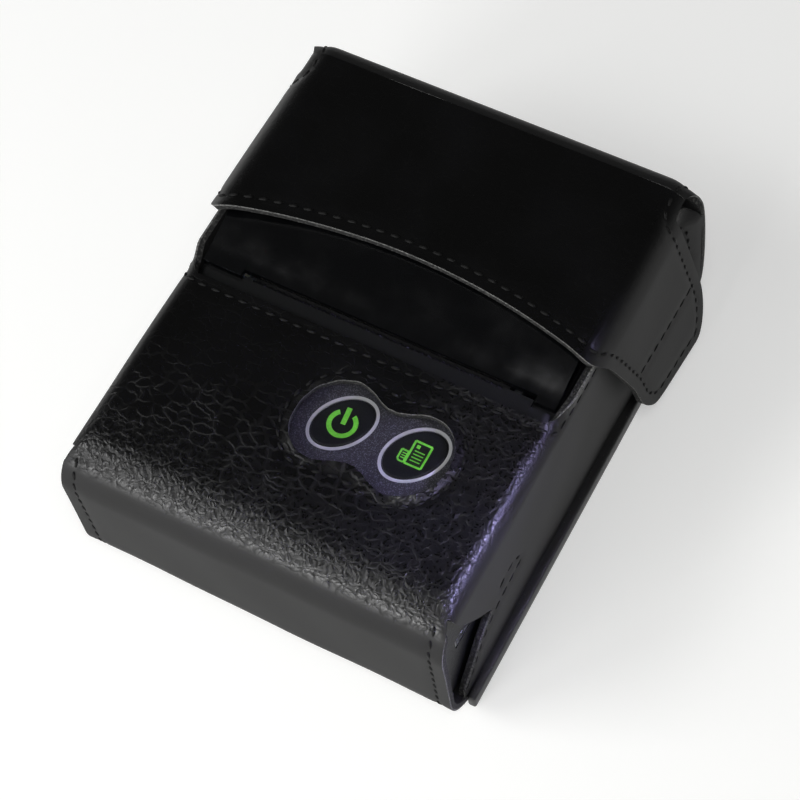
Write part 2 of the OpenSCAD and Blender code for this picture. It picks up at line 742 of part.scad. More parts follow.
module paper_lid() color([0.07, 0.075, 0.08, 0.6]) difference() {
    union() {
        along_x(-lid_in_x + 0.3, lid_in_x - 0.3) lid_skin();
        intersection() {
            along_x(-lid_x, lid_x) lid_skin();
            box([-far, -far, rail_z + 0.2], [far, pivot.x - 3.7, far]);
        }
        // skirts along the rails
        both_sides() intersection() {
            along_x(lid_x - skirt_t, lid_x) lid_body();
            box([-far, -far, rail_z + 0.2], [far, pivot.x - 3.7, far]);
        }
        // front corners that reach forward over the gears and the frame
        lid_tab(-lid_x, -body_x + tab_left_w);
        lid_tab(body_x - tab_right_w, lid_x);
        // cheeks that hold the platen's bushings
        both_sides() along_x(cheek_x, cheek_x + cheek_t) {
            translate(platen_c) circle(bush_r + 1.4);
            translate([platen_c.x - bush_r - 0.4, platen_c.y])
                square([2 * bush_r + 0.8, lid_z - lid_drop - platen_c.y]);
        }
        // discs that turn on the hinge pins
        both_sides() along_x(lid_in_x - 3.3, lid_in_x - 0.3) translate(pivot) circle(lid_roll_r - 0.6);
    }
    both_sides() rod_x(cheek_x - 1, cheek_x + cheek_t + 1, platen_c, bush_r + fit);
    both_sides() rod_x(lid_in_x - 4, lid_in_x + 1, pivot, hinge_pin_r + run_gap);
}

module lid_tab(x0, x1) {
    box([x0, lid_front - tab_l, lid_z - lid_drop - lid_t], [x1, lid_front + 0.6, lid_z - lid_drop]);
}

module lid_hinge_pins() color([0.75, 0.76, 0.78]) both_sides()
    rod_x(lid_in_x - 3, body_x - 0.4, pivot, hinge_pin_r);

// Ring of plain bearing material in each of the lid's cheeks
module platen_bushings() color([0.85, 0.84, 0.8]) both_sides() difference() {
    rod_x(cheek_x, cheek_x + cheek_t, platen_c, bush_r);
    rod_x(cheek_x - 1, cheek_x + cheek_t + 1, platen_c, shaft_r + run_gap);
}

module platen_shaft() color([0.75, 0.76, 0.78])
    rod_x(-cheek_x - cheek_t, cheek_x + cheek_t, platen_c, shaft_r);

module platen_rubber() color([0.12, 0.12, 0.12]) difference() {
    rod_x(-platen_l / 2, platen_l / 2, platen_c, platen_r);
    rod_x(-platen_l, platen_l, platen_c, shaft_r);
}

module gear(teeth, c, turn, bore) difference() {
    along_x(-gear_end, -gear_x) translate(c) gear_shape(teeth, turn);
    rod_x(-gear_end - 1, -gear_x + 1, c, bore);
}

// A gap of the platen's gear points down, at a tooth of the idler
module platen_gear() color([0.92, 0.92, 0.9])
    gear(platen_teeth, platen_c, -90 + 180 / platen_teeth, shaft_r);

module idler_gear() color([0.92, 0.92, 0.9]) gear(idler_teeth, idler_c, 90, idler_pin_r + run_gap);

module idler_pin() color([0.75, 0.76, 0.78]) {
    rod_x(-gear_end - 0.3, -frame_x, idler_c, idler_pin_r);
    rod_x(-gear_end - 0.9, -gear_end - 0.3, idler_c, idler_pin_r + 0.6);
}

// The pinion's gap meets the idler's tooth where their teeth roll on each other
module motor_pinion() color([0.8, 0.68, 0.35]) {
    idler_step = 360 / idler_teeth;
    past_tooth = (motor_dir - 90) - idler_step * round((motor_dir - 90) / idler_step);
    turn = motor_dir + 180 + past_tooth * idler_teeth / pinion_teeth + 180 / pinion_teeth;
    along_x(-gear_end, -gear_x) translate(motor_c) gear_shape(pinion_teeth, turn);
    rod_x(-gear_x - eps, -frame_x + 6, motor_c, motor_shaft_r);
}

// Frame of the print mechanism: two side plates, a back bar, a floor and a paper guide
module mech_frame() color([0.62, 0.63, 0.65]) difference() {
    union() {
        both_sides() along_x(frame_x, frame_out) difference() {
            translate([frame_back, frame_low])
                square([frame_rear - frame_back, platen_c.y + 1 - frame_low]);
            translate(platen_c) circle(shaft_r + 0.3);
            translate([platen_c.x - shaft_r - 0.3, platen_c.y]) square([2 * shaft_r + 0.6, far]);
        }
        box([-frame_out, frame_back, frame_low], [frame_out, frame_rear, frame_low + frame_t]);
        box([-frame_x - eps, frame_back, frame_low], [frame_x + eps, frame_back + frame_t, head_top - 0.4]);
        box([-frame_x - eps, sink_face + 1, guide_z], [frame_x + eps, frame_rear, guide_z + 1.2]);
    }
    both_sides() rod_x(frame_x - 1, frame_out + 1, head_pin_c, head_pin_r + fit);
    rod_x(-frame_out - 1, -frame_x + 1, idler_c, idler_pin_r + fit);
    rod_x(-frame_out - 1, -frame_x + 1, motor_c, motor_shaft_r + 0.3);
    both_sides() rod_z(mech_screw_at, frame_low - 1, frame_low + 2, screw_r + 0.2);
    // window for the head's flat cable
    box([1, frame_back - 1, board_z + 1.4], [21, frame_back + frame_t + 1, board_z + 8]);
}

module thermal_head() color([0.85, 0.8, 0.7])
    box([-head_x, sink_face, head_top - head_h], [head_x, head_face, head_top]);

module head_heatsink() color([0.72, 0.74, 0.76]) difference() {
    box([-head_x, sink_back, head_top - sink_h], [head_x, sink_face, head_top]);
    rod_x(-far, far, head_pin_c, head_pin_r + run_gap);
}

module head_pin() color([0.75, 0.76, 0.78]) rod_x(-frame_out, frame_out, head_pin_c, head_pin_r);

module head_springs() color([0.7, 0.7, 0.72]) both_sides()
    translate([14, frame_back + frame_t, head_top - 3.2]) rotate([-90, 0, 0]) difference() {
        cylinder(h = spring_l, r = spring_r);
        translate([0, 0, -1]) cylinder(h = spring_l + 2, r = spring_r - 0.4);
    }

// Flat cable from the head down to the main board
module head_flex() color([0.75, 0.5, 0.2]) {
    start = [sink_back - 0.2, head_top - 7];
    low = [board_rear - 5, board_z + board_t + 1.3];
    route = bend(start, [start.x - 1, low.y + 1], low, 10);
    along_x(2, 20) polygon(concat(route, [for (p = backward(route)) [p.x + 0.14, p.y - 0.14]]));
}

// Serrated strip behind the housing's edge, at the paper exit
module tear_blade() color([0.16, 0.16, 0.17]) {
    teeth = 36;
    step = 2 * (head_x - 0.2) / teeth;
    low = head_top + 0.6;
    along_y(house_end - 0.5, house_end - 0.1) polygon(concat(
        [[-head_x + 0.2, low]],
        [for (i = [0 : teeth]) each [[-head_x + 0.2 + i * step, body_top - 0.4],
            if (i < teeth) [-head_x + 0.2 + (i + 0.5) * step, body_top + 0.15]]],
        [[head_x - 0.2, low]]));
}

module stepper_motor() color([0.7, 0.71, 0.73]) difference() {
    rod_x(-frame_x, -frame_x + motor_l, motor_c, motor_r);
    rod_x(-frame_x - 1, -frame_x + 6.2, motor_c, motor_shaft_r + run_gap);
}

module paper_sensor() color([0.06, 0.06, 0.06]) difference() {
    box([-3, platen_c.x - 1, guide_z + 1.2], [3, platen_c.x + 2, guide_z + 2.8]);
    box([-0.4, platen_c.x - 2, guide_z + 2.2], [0.4, platen_c.x + 3, guide_z + 3]);
}

// Trough that the paper roll lies in
module paper_cradle() color([0.12, 0.12, 0.13]) along_x(-paper_w / 2 - 0.6, paper_w / 2 + 0.6) {
    difference() {
        translate([cradle_c.x - cradle_r - cradle_t, floor_z])
            square([2 * (cradle_r + cradle_t), cradle_c.y - 3 - floor_z]);
        translate(cradle_c) circle(cradle_r);
        translate([cradle_c.x - cradle_r - cradle_t, floor_z]) nick(cradle_r * 0.6);
        translate([cradle_c.x + cradle_r + cradle_t, floor_z]) mirror([1, 0]) nick(cradle_r * 0.6);
    }
}

module paper_roll() color([0.95, 0.95, 0.93]) difference() {
    rod_x(-paper_w / 2, paper_w / 2, roll_c, roll_r);
    rod_x(-paper_w, paper_w, roll_c, core_r);
}

module paper_core() color([0.9, 0.89, 0.85]) difference() {
    rod_x(-paper_w / 2, paper_w / 2, roll_c, core_r);
    rod_x(-paper_w, paper_w, roll_c, core_bore_r);
}

module main_board() color([0.05, 0.2, 0.1]) difference() {
    box([-board_x_half, board_front, board_z], [board_x_half, board_rear, board_z + board_t]);
    for (at = board_post_at) both_sides() rod_z(at, 0, far, screw_r + 0.2);
    // notches for the housing's bosses
    both_sides() rod_z(boss_at[0], 0, far, boss_r + 0.4);
    both_sides() box([boss_at[0].x, boss_at[0].y - boss_r - 0.4, 0],
        [far, boss_at[0].y + boss_r + 0.4, far]);
}

module on_board(x, y, w, l, h) {
    box([x, board_front + y, board_z + board_t], [x + w, board_front + y + l, board_z + board_t + h]);
}

// Processor, motor driver, memory, coils, capacitors and the head's connector
module board_chips() color([0.05, 0.05, 0.05]) {
    on_board(-6, 8, 8, 8, 1.2);
    on_board(-22, 14, 5, 6, 1.4);
    on_board(-12, 22, 4, 5, 1.2);
    on_board(-26, 4, 5, 5, 2.6);
    for (i = [0 : 2]) on_board(-2 + 4 * i, 20, 2.4, 3.4, 1.6);
    box([1, board_rear - 7, board_z + board_t], [21, board_rear - 3.4, board_z + board_t + 1]);
}

module wireless_module() color([0.08, 0.14, 0.3]) {
    on_board(10, 3, 13, 10, 0.8);
    box([11, board_front + 4, board_z + board_t + 0.8 - eps],
        [19, board_front + 12, board_z + board_t + 2.4]);
}

// Steel shell of the charging socket, with its tongue
module usb_socket() color([0.75, 0.76, 0.78]) {
    depth = 5.4;
    difference() {
        box([body_x - depth, usb_c.x - usb_w / 2, usb_c.y - usb_h / 2],
            [body_x - 0.2, usb_c.x + usb_w / 2, usb_c.y + usb_h / 2]);
        box([body_x - depth + 0.8, usb_c.x - usb_w / 2 + 0.3, usb_c.y - usb_h / 2 + 0.3],
            [body_x + 1, usb_c.x + usb_w / 2 - 0.3, usb_c.y + usb_h / 2 - 0.3]);
    }
    box([body_x - depth + 0.7, usb_c.x - usb_w / 4, usb_c.y - 0.1], [body_x - 1, usb_c.x + usb_w / 4, usb_c.y + 0.5]);
}

// Flat pack of two cells, resting on the battery door
module battery_pack() color([0.16, 0.28, 0.45]) intersection() {
    translate([-battery.x / 2, battery_front, floor_z]) cube(battery);
    along_y(battery_front, battery_front + battery.y) difference() {
        translate([-battery.x / 2, floor_z]) square([battery.x, battery.z]);
        for (s = [0, 1]) mirror([s, 0]) {
            translate([-battery.x / 2, floor_z]) nick(2.5);
            translate([-battery.x / 2, floor_z + battery.z]) mirror([0, 1]) nick(2.5);
        }
    }
}

// Spring strips that hang from the main board onto the front end of the battery
module battery_contacts() color([0.85, 0.7, 0.35]) for (x = [-8, -2, 4])
    box([x, battery_front + 4, floor_z + battery.z], [x + 2.4, battery_front + 9, board_z]);

module screw_z(at, head_z, tip_z) {
    rod_z(at, tip_z, head_z + eps, screw_r);
    rod_z(at, head_z, head_z + 1.2, screw_head_r);
}

// Screws that close the housing from below
module housing_screws() color([0.3, 0.3, 0.32]) for (at = boss_at) both_sides() {
    rod_z(at, base_z + 0.6, base_z + 2.2, screw_head_r);
    rod_z(at, base_z + 2.2 - eps, split_z + 5.5, screw_r);
}

module mech_screws() color([0.6, 0.6, 0.62]) both_sides()
    screw_z(mech_screw_at, frame_low + frame_t, frame_low - 4);

module board_screws() color([0.6, 0.6, 0.62]) for (at = board_post_at) both_sides()
    screw_z(at, board_z + board_t, board_z - 4.4);

case_pouch();
case_base_board();
case_back();
case_flap();
loop_patches();
hook_patches();
lower_housing();
upper_housing();
battery_door();
button_faceplate();
power_ring();
feed_ring();
power_key();
feed_key();
button_board();
tact_switches();
paper_lid();
lid_hinge_pins();
platen_bushings();
platen_shaft();
platen_rubber();
platen_gear();
mech_frame();
thermal_head();
head_heatsink();
head_pin();
head_springs();
head_flex();
tear_blade();
stepper_motor();
motor_pinion();
idler_gear();
idler_pin();
paper_sensor();
paper_cradle();
paper_roll();
paper_core();
main_board();
board_chips();
wireless_module();
usb_socket();
battery_pack();
battery_contacts();
housing_screws();
mech_screws();
board_screws();
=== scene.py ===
# %% [markdown]
# # A pocket printer in a sewn leather case
# The printer is a plastic box with a smoked lid and two keys. It lies in a black case that is cut
# flat from sheet leather, folded and sewn. This lesson builds the case in the same order: each
# piece is cut as a flat plate, and its points are then folded to their place.

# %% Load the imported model
import json
import math
import bmesh
import bpy
import numpy as np
from mathutils import Matrix, Vector


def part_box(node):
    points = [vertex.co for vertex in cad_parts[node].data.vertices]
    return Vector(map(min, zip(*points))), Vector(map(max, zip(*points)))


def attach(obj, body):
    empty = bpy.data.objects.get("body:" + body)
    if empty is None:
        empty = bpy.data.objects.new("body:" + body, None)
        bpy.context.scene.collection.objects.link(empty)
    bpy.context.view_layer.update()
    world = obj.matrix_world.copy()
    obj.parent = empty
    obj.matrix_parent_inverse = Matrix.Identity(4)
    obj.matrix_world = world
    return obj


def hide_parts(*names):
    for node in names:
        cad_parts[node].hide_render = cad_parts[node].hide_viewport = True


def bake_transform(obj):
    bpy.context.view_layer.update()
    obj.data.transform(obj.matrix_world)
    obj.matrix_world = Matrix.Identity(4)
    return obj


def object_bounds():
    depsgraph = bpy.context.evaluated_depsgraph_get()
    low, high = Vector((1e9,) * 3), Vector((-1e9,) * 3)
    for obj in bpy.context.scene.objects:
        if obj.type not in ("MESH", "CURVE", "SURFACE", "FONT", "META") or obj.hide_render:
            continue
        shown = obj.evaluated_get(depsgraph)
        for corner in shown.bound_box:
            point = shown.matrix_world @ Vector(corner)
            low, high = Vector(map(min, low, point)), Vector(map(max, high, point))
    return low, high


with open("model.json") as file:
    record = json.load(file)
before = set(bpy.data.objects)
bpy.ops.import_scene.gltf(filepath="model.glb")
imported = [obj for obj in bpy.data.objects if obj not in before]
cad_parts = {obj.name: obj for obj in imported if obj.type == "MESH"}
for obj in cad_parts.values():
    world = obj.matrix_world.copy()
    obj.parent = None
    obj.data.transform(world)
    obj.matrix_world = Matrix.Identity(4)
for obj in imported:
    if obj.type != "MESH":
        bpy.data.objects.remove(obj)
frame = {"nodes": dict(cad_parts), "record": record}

nodes = frame["nodes"]
cad_box = [list(corner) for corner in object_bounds()]
MM = 0.001


def in_mm(box):
    return [[round(v / MM, 1) for v in corner] for corner in box]


print("CAD box in mm:", in_mm(cad_box))

# %% [markdown]
# ## Camera
# The photograph looks down on the front right corner of the case with a long lens. The camera's
# turn is written as three directions, which are easier to read than three angles.

# %% Camera at the photograph's angle
AZIMUTH, ELEVATION, ROLL = (math.radians(a) for a in (38.13, 61.53, -10.9))
DISTANCE = 437.96 * MM
LENS, SENSOR, NEAR_CLIP, FAR_CLIP = 99.06, 36, 0.01, 20
AIM = Vector((4.74, -3.41, 22.0)) * MM


def towards(bearing, height):
    """The way from the object to a camera or lamp. Bearing 0 is in front, a quarter turn right."""
    return Vector((math.sin(bearing) * math.cos(height), -math.cos(bearing) * math.cos(height),
                   math.sin(height)))


away, level = towards(AZIMUTH, ELEVATION), Vector((math.cos(AZIMUTH), math.sin(AZIMUTH), 0))
upright = away.cross(level)
right = math.cos(ROLL) * level + math.sin(ROLL) * upright
up = math.cos(ROLL) * upright - math.sin(ROLL) * level
lens = bpy.data.cameras.new("photo_camera")
lens.lens, lens.sensor_width, lens.clip_start, lens.clip_end = LENS, SENSOR, NEAR_CLIP, FAR_CLIP
camera = bpy.data.objects.new("photo_camera", lens)
turned = Matrix((right, up, away)).transposed().to_4x4()
camera.matrix_world = Matrix.Translation(AIM + away * DISTANCE) @ turned
bpy.context.scene.collection.objects.link(camera)
bpy.context.scene.camera = camera
print("camera", [round(v, 3) for v in camera.matrix_world.translation])

# %% [markdown]
# ## Small tools for materials
# Colours are written as the hex values that a painter's tool shows, and turned to the linear
# values that Blender wants. One function adds a node with its settings and its links. A texture's
# scale comes from a real size in millimetres.

# %% Colour and node helpers
OBJECT = 3                    # the output of Texture Coordinate that gives a piece's own place
WAVE = 2 * math.pi            # a wave texture of size WAVE * w has bands w mm wide
MULTIPLY, MULTIPLY_ADD = {"operation": "MULTIPLY"}, {"operation": "MULTIPLY_ADD"}


def linear(hex_code):
    parts = [int(hex_code[i:i + 2], 16) / 255 for i in (1, 3, 5)]
    return (*[c / 12.92 if c <= 0.04045 else ((c + 0.055) / 1.055) ** 2.4 for c in parts], 1)


def add(tree, kind, settings=None, out=0, to=None, size=None, **inputs):
    """Adds a node and returns its output socket. Inputs are values, or sockets to link; i0 and i1
    are sockets by number. A ramp's stops are (position, hex colour or grey). to is a socket that
    the output is linked to. size is a texture's width in mm, on the piece's own coordinates."""
    if size:
        inputs["Scale"] = 1 / (size * MM)
        if "Vector" not in inputs:
            inputs["Vector"] = add(tree, "TexCoord", out=OBJECT)
    node = tree.nodes.new("ShaderNode" + kind)
    for key, value in (settings or {}).items():
        if key == "stops":
            while len(node.color_ramp.elements) < len(value):
                node.color_ramp.elements.new(0.5)
            for element, (position, tone) in zip(node.color_ramp.elements, value):
                element.position = position
                element.color = linear(tone) if isinstance(tone, str) else (tone, tone, tone, 1)
        else:
            setattr(node, key, value)
    for key, value in inputs.items():
        by_number = key[0] == "i" and key[1:].isdigit()
        socket = node.inputs[int(key[1:])] if by_number else node.inputs[key.replace("_", " ")]
        if isinstance(value, bpy.types.NodeSocket):
            tree.links.new(value, socket)
        else:
            socket.default_value = value
    if to is not None:
        tree.links.new(node.outputs[out], to)
    return node.outputs[out]


def new_material(name, hex_code, roughness, **sockets):
    material = bpy.data.materials.new(name)
    material.use_nodes = True
    tree = material.node_tree
    shader = tree.nodes["Principled BSDF"]
    shader.inputs["Base Color"].default_value = linear(hex_code)
    shader.inputs["Roughness"].default_value = roughness
    for key, value in sockets.items():
        shader.inputs[key.replace("_", " ")].default_value = value
    return material, tree, shader.inputs


def draw(tree, inputs, pattern, stops, strength, depth, **settings):
    """Colours a surface by a pattern and raises it by the same pattern, depth mm at the most."""
    add(tree, "ValToRGB", {"stops": stops}, Fac=pattern, to=inputs["Base Color"])
    add(tree, "Bump", settings, Strength=strength, Distance=depth * MM, Height=pattern,
        to=inputs["Normal"])


print("mid grey", [round(v, 3) for v in linear("#808080")])

# %% [markdown]
# ## Leather
# The case is split leather with a pressed grain and a satin top coat. Creases part it into cells
# about 2 mm high and 3 mm wide, and where the hide is stretched over the nose it stands in pebbles
# of 1 mm. The grain is drawn on the pattern's own UV map, which is in millimetres of flat leather,
# so it runs round each fold without a break. A point attribute says how strongly the creases and
# the pebbles show and how dull the leather is, because the walls were pressed smooth.

# %% Leather
CELL, CELL_STRETCH = 2.0, 0.6  # height of one cell of the creases in mm, height to width
PEBBLE = 1.0                   # width of a pebble, mm
PEBBLE_DEPTH = 1.5             # height of a pebble's dome against the depth of a crease
PORE = 0.3                     # width of a pore, drawn a little coarse so that it shows
PORE_DEPTH, STREAK_DEPTH = 0.1, 0.09  # against the depth of a crease
DRIFT = 2.0                    # how far the cells wander from an even grid, mm
DULL_WALLS = 0.4               # how much rougher the leather is on the smooth walls
FLAT_NOISE = {"noise_dimensions": "2D"}


def leather_grain(name, dark, worn, roughness, depth):
    """The attribute "grain" of a piece holds three strengths: creases, pebbles and dullness."""
    material, tree, inputs = new_material(name, dark, roughness, IOR=1.4)
    flat = add(tree, "UVMap", {"uv_map": "pattern"})
    strengths = add(tree, "SeparateXYZ", Vector=add(tree, "Attribute", {"attribute_name": "grain"},
                                                    out=1)).node.outputs
    drift = add(tree, "TexNoise", FLAT_NOISE, out=1, Vector=flat, Scale=0.4, Detail=2.0)
    shifted = add(tree, "VectorMath", MULTIPLY_ADD, i0=drift, i1=(DRIFT, DRIFT, 0), i2=flat)
    flattened = add(tree, "VectorMath", MULTIPLY, i0=shifted, i1=(CELL_STRETCH, 1, 1))
    cells = add(tree, "TexVoronoi", {"voronoi_dimensions": "2D", "feature": "DISTANCE_TO_EDGE"},
                Vector=flattened, Scale=1 / CELL)
    pebbles = add(tree, "TexVoronoi", {"voronoi_dimensions": "2D"}, Vector=shifted,
                  Scale=1 / PEBBLE)
    pores = add(tree, "TexNoise", FLAT_NOISE, Vector=flat, Scale=1 / PORE, Detail=2.0,
                Roughness=0.6)
    # creases are narrow and fade here and there; 0 is the surface, 1 the floor of a crease
    crease = add(tree, "ValToRGB", {"stops": ((0.0, 1.0), (0.05, 0.45), (0.22, 0.0))}, Fac=cells)
    some = add(tree, "TexNoise", FLAT_NOISE, Vector=flat, Scale=0.25, Detail=1.0)
    some = add(tree, "ValToRGB", {"stops": ((0.34, 0.3), (0.55, 1.0))}, Fac=some)
    crease = add(tree, "Math", MULTIPLY, i0=crease, i1=some)
    crease = add(tree, "Math", MULTIPLY_ADD, i0=pores, i1=PORE_DEPTH, i2=crease)
    crease = add(tree, "Math", MULTIPLY, i0=crease, i1=strengths[0])
    # a pebble is a dome: its height falls with the square of the distance from its middle
    dome = add(tree, "Math", MULTIPLY, i0=pebbles, i1=pebbles)
    dome = add(tree, "Math", MULTIPLY, i0=dome, i1=strengths[1])
    shown = add(tree, "Math", MULTIPLY_ADD, i0=dome, i1=PEBBLE_DEPTH, i2=crease)
    # what is left on the smooth walls is a fine grain along the sheet
    along = add(tree, "VectorMath", MULTIPLY, i0=flat, i1=(3.0, 0.7, 0))
    streaks = add(tree, "TexNoise", FLAT_NOISE, Vector=along, Scale=1.0, Detail=3.0)
    relief = add(tree, "Math", MULTIPLY_ADD, i0=streaks, i1=STREAK_DEPTH, i2=shown)
    add(tree, "Bump", {"invert": True}, Strength=1.0, Distance=depth * MM, Height=relief,
        to=inputs["Normal"])
    # the raised parts are polished by the hand, the creases and the smooth walls stay duller
    dull = add(tree, "ValToRGB", {"stops": ((0.1, roughness), (0.9, roughness + 0.2))}, Fac=shown)
    add(tree, "Math", MULTIPLY_ADD, i0=strengths[2], i1=DULL_WALLS, i2=dull,
        to=inputs["Roughness"])
    cloud = add(tree, "TexNoise", FLAT_NOISE, Vector=flat, Scale=0.06, Detail=3.0)
    add(tree, "ValToRGB", {"stops": ((0.35, dark), (0.75, worn))}, Fac=cloud,
        to=inputs["Base Color"])
    return material


# Black split leather, pressed and top-coated: nearly black, a satin gloss on each raised cell.
black_leather = leather_grain("black split leather, pressed grain", "#070707", "#0b0b0c", 0.27,
                              0.1)
print(black_leather.name)

# %% Cut edges and lining


def short_fibres(name, dark, light, roughness, spacing, depth, share=(0.35, 0.7)):
    """A cut edge or a felt, of short fibres. share says where the noise turns light."""
    material, tree, inputs = new_material(name, dark, roughness)
    fuzz = add(tree, "TexNoise", size=spacing, Detail=3.0)
    draw(tree, inputs, fuzz, tuple(zip(share, (dark, light))), 0.8, depth)
    return material


# The cut edge of the leather shows its undyed grey fibre.
cut_edge = short_fibres("cut leather edge, grey fibre", "#333332", "#7c7c7a", 0.8, 0.4, 0.05)
# The lining is a black brushed felt with a short nap; its cut edge is fluffy.
felt = short_fibres("brushed polyester lining", "#0a0a0a", "#1e1e1e", 0.95, 0.5, 0.12)
felt_edge = short_fibres("cut lining edge, fluffy", "#080808", "#3e3e3c", 0.95, 0.5, 0.2,
                         (0.5, 0.68))
print("leather materials ready")

# %% [markdown]
# ## Cutting a flat sheet
# Case makers stamp each piece from flat leather with a steel rule. Here a grid with uneven steps
# is made solid, and a prism of the outline is cut from it with a Boolean modifier, so that the
# edges are as clean as stamped ones.

# %% Flat sheets and cutters
BLADE = 5.0  # how far a cutter reaches above and below the sheet, mm


def spaced(*stops):
    """Positions through the stops (position, step to the next one)."""
    line = []
    for (start, step), (end, _) in zip(stops, stops[1:]):
        count = max(1, round(abs(end - start) / step))
        line += [start + (end - start) * i / count for i in range(count)]
    return line + [stops[-1][0]]


def flat_sheet(columns, rows, keep=None):
    """A grid with these columns and rows, in mm. keep(a, t) says which cells stay."""
    bm = bmesh.new()
    bmesh.ops.create_grid(bm, x_segments=len(columns) - 1, y_segments=len(rows) - 1, size=0.5)
    for v in bm.verts:
        column = round((v.co.x + 0.5) * (len(columns) - 1))
        row = round((v.co.y + 0.5) * (len(rows) - 1))
        v.co = (columns[column], rows[row], 0)
    spare = [f for f in bm.faces if keep and not keep(*f.calc_center_median().xy)]
    bmesh.ops.delete(bm, geom=spare, context="FACES")
    return bm


def prism(outline):
    """An outline in mm, made into a closed block through the sheet."""
    bm = bmesh.new()
    face = bm.faces.new([bm.verts.new((a, t, -BLADE)) for a, t in outline])
    rim = bmesh.ops.extrude_face_region(bm, geom=[face], use_keep_orig=True)["geom"]
    lifted = [v for v in rim if isinstance(v, bmesh.types.BMVert)]
    bmesh.ops.translate(bm, vec=(0, 0, 2 * BLADE), verts=lifted)
    bmesh.ops.recalc_face_normals(bm, faces=bm.faces)
    return bm


def as_object(name, bm, *materials):
    mesh = bpy.data.meshes.new(name)
    bm.to_mesh(mesh)
    bm.free()
    piece = bpy.data.objects.new(name, mesh)
    bpy.context.scene.collection.objects.link(piece)
    for material in materials:
        mesh.materials.append(material)
    return piece


def cut(piece, outline, operation):
    """Cuts a flat piece with an outline: INTERSECT keeps the inside, DIFFERENCE the outside."""
    tool = as_object("cutter", prism(outline))
    modifier = piece.modifiers.new("cut", "BOOLEAN")
    modifier.operation, modifier.solver, modifier.object = operation, "EXACT", tool
    bpy.context.view_layer.update()
    evaluated = piece.evaluated_get(bpy.context.evaluated_depsgraph_get())
    stamped = bpy.data.meshes.new_from_object(evaluated)
    piece.modifiers.clear()
    old, piece.data = piece.data, stamped
    bpy.data.meshes.remove(old)
    bpy.data.objects.remove(tool)


print("cutters reach", BLADE, "mm up and down")

# %% Lines on the pattern


def smooth_path(points):
    """Rounds the corners of a line by cutting them off three times."""
    for _ in range(3):
        cut_points = [points[0]]
        for (a0, t0), (a1, t1) in zip(points, points[1:]):
            cut_points += [(0.75 * a0 + 0.25 * a1, 0.75 * t0 + 0.25 * t1),
                           (0.25 * a0 + 0.75 * a1, 0.25 * t0 + 0.75 * t1)]
        points = cut_points + [points[-1]]
    return points


def inset(points, distance):
    """A line beside another, to its left when distance is positive."""
    line = np.array(points)
    way = np.vstack((line[1:], line[-1:])) - np.vstack((line[:1], line[:-1]))
    way /= np.linalg.norm(way, axis=1)[:, None]
    return [tuple(p) for p in line + distance * np.stack((-way[:, 1], way[:, 0]), 1)]


def mirrored(points):
    return [(-a, t) for a, t in reversed(points)]


print("line tools ready")

# %% [markdown]
# ## Seams
# Waxed black thread, sewn by a saddle stitch with about three millimetres from hole to hole. Each
# stitch is one small bead of thread that sinks into the leather at both ends, so it is modelled as
# a stretched ball, a little slanted, as the awl leaves it. The seam also pulls a shallow channel.

# %% Seam lines
STITCH_PITCH, STITCH_LENGTH, STITCH_WIDTH, STITCH_HEIGHT = 3.1, 2.35, 0.8, 0.48
SLANT = math.radians(7)
CHANNEL_DEPTH, CHANNEL_WIDTH, CHANNEL_REACH = 0.22, 0.8, 2.5
CHANNEL_STEP, BATCH = 0.7, 40  # the channel is measured from points this far apart, 40 at a time
SUNK = 0.16                    # how far the middle of a stitch lies under the surface
LOOK = 0.3                     # a line's direction is taken this far before and after a point


def evenly(points, pitch):
    """Points along a line at one pitch, with the direction of the line at each."""
    line = np.array(points)
    steps = np.linalg.norm(np.diff(line, axis=0), axis=1)
    run = np.concatenate(([0], np.cumsum(steps)))
    count = max(1, round(run[-1] / pitch))
    at = (np.arange(count) + 0.5) * run[-1] / count
    place, after, before = (np.stack([np.interp(at + shift, run, line[:, i]) for i in (0, 1)], 1)
                            for shift in (0, LOOK, -LOOK))
    return place, after - before


def seam_depth(a, t, seams):
    """How far the thread pulls the leather down at each point of the pattern."""
    depth = np.zeros(len(a))
    for seam in seams:
        place, _ = evenly(seam, CHANNEL_STEP)
        for start in range(0, len(place), BATCH):
            part = place[start:start + BATCH]
            low, high = part.min(0) - CHANNEL_REACH, part.max(0) + CHANNEL_REACH
            near = (a > low[0]) & (a < high[0]) & (t > low[1]) & (t < high[1])
            if near.any():
                gap = np.hypot(a[near, None] - part[:, 0], t[near, None] - part[:, 1]).min(1)
                pull = CHANNEL_DEPTH * np.exp(-(gap / CHANNEL_WIDTH) ** 2)
                depth[near] = np.maximum(depth[near], pull)
    return depth


def out_of(surface, a, t):
    """The direction out of the surface, from two small steps on it. A pattern whose t runs to the
    rear has a facing of -1."""
    step = 0.05
    across = surface(a + step, t) - surface(a - step, t)
    along = surface(a, t + step) - surface(a, t - step)
    out = np.cross(along, across) * getattr(surface, "facing", 1)
    return out / np.maximum(np.linalg.norm(out, axis=1), 1e-9)[:, None]


print("the thread pulls a channel", CHANNEL_DEPTH, "mm deep")

# %% Sewing


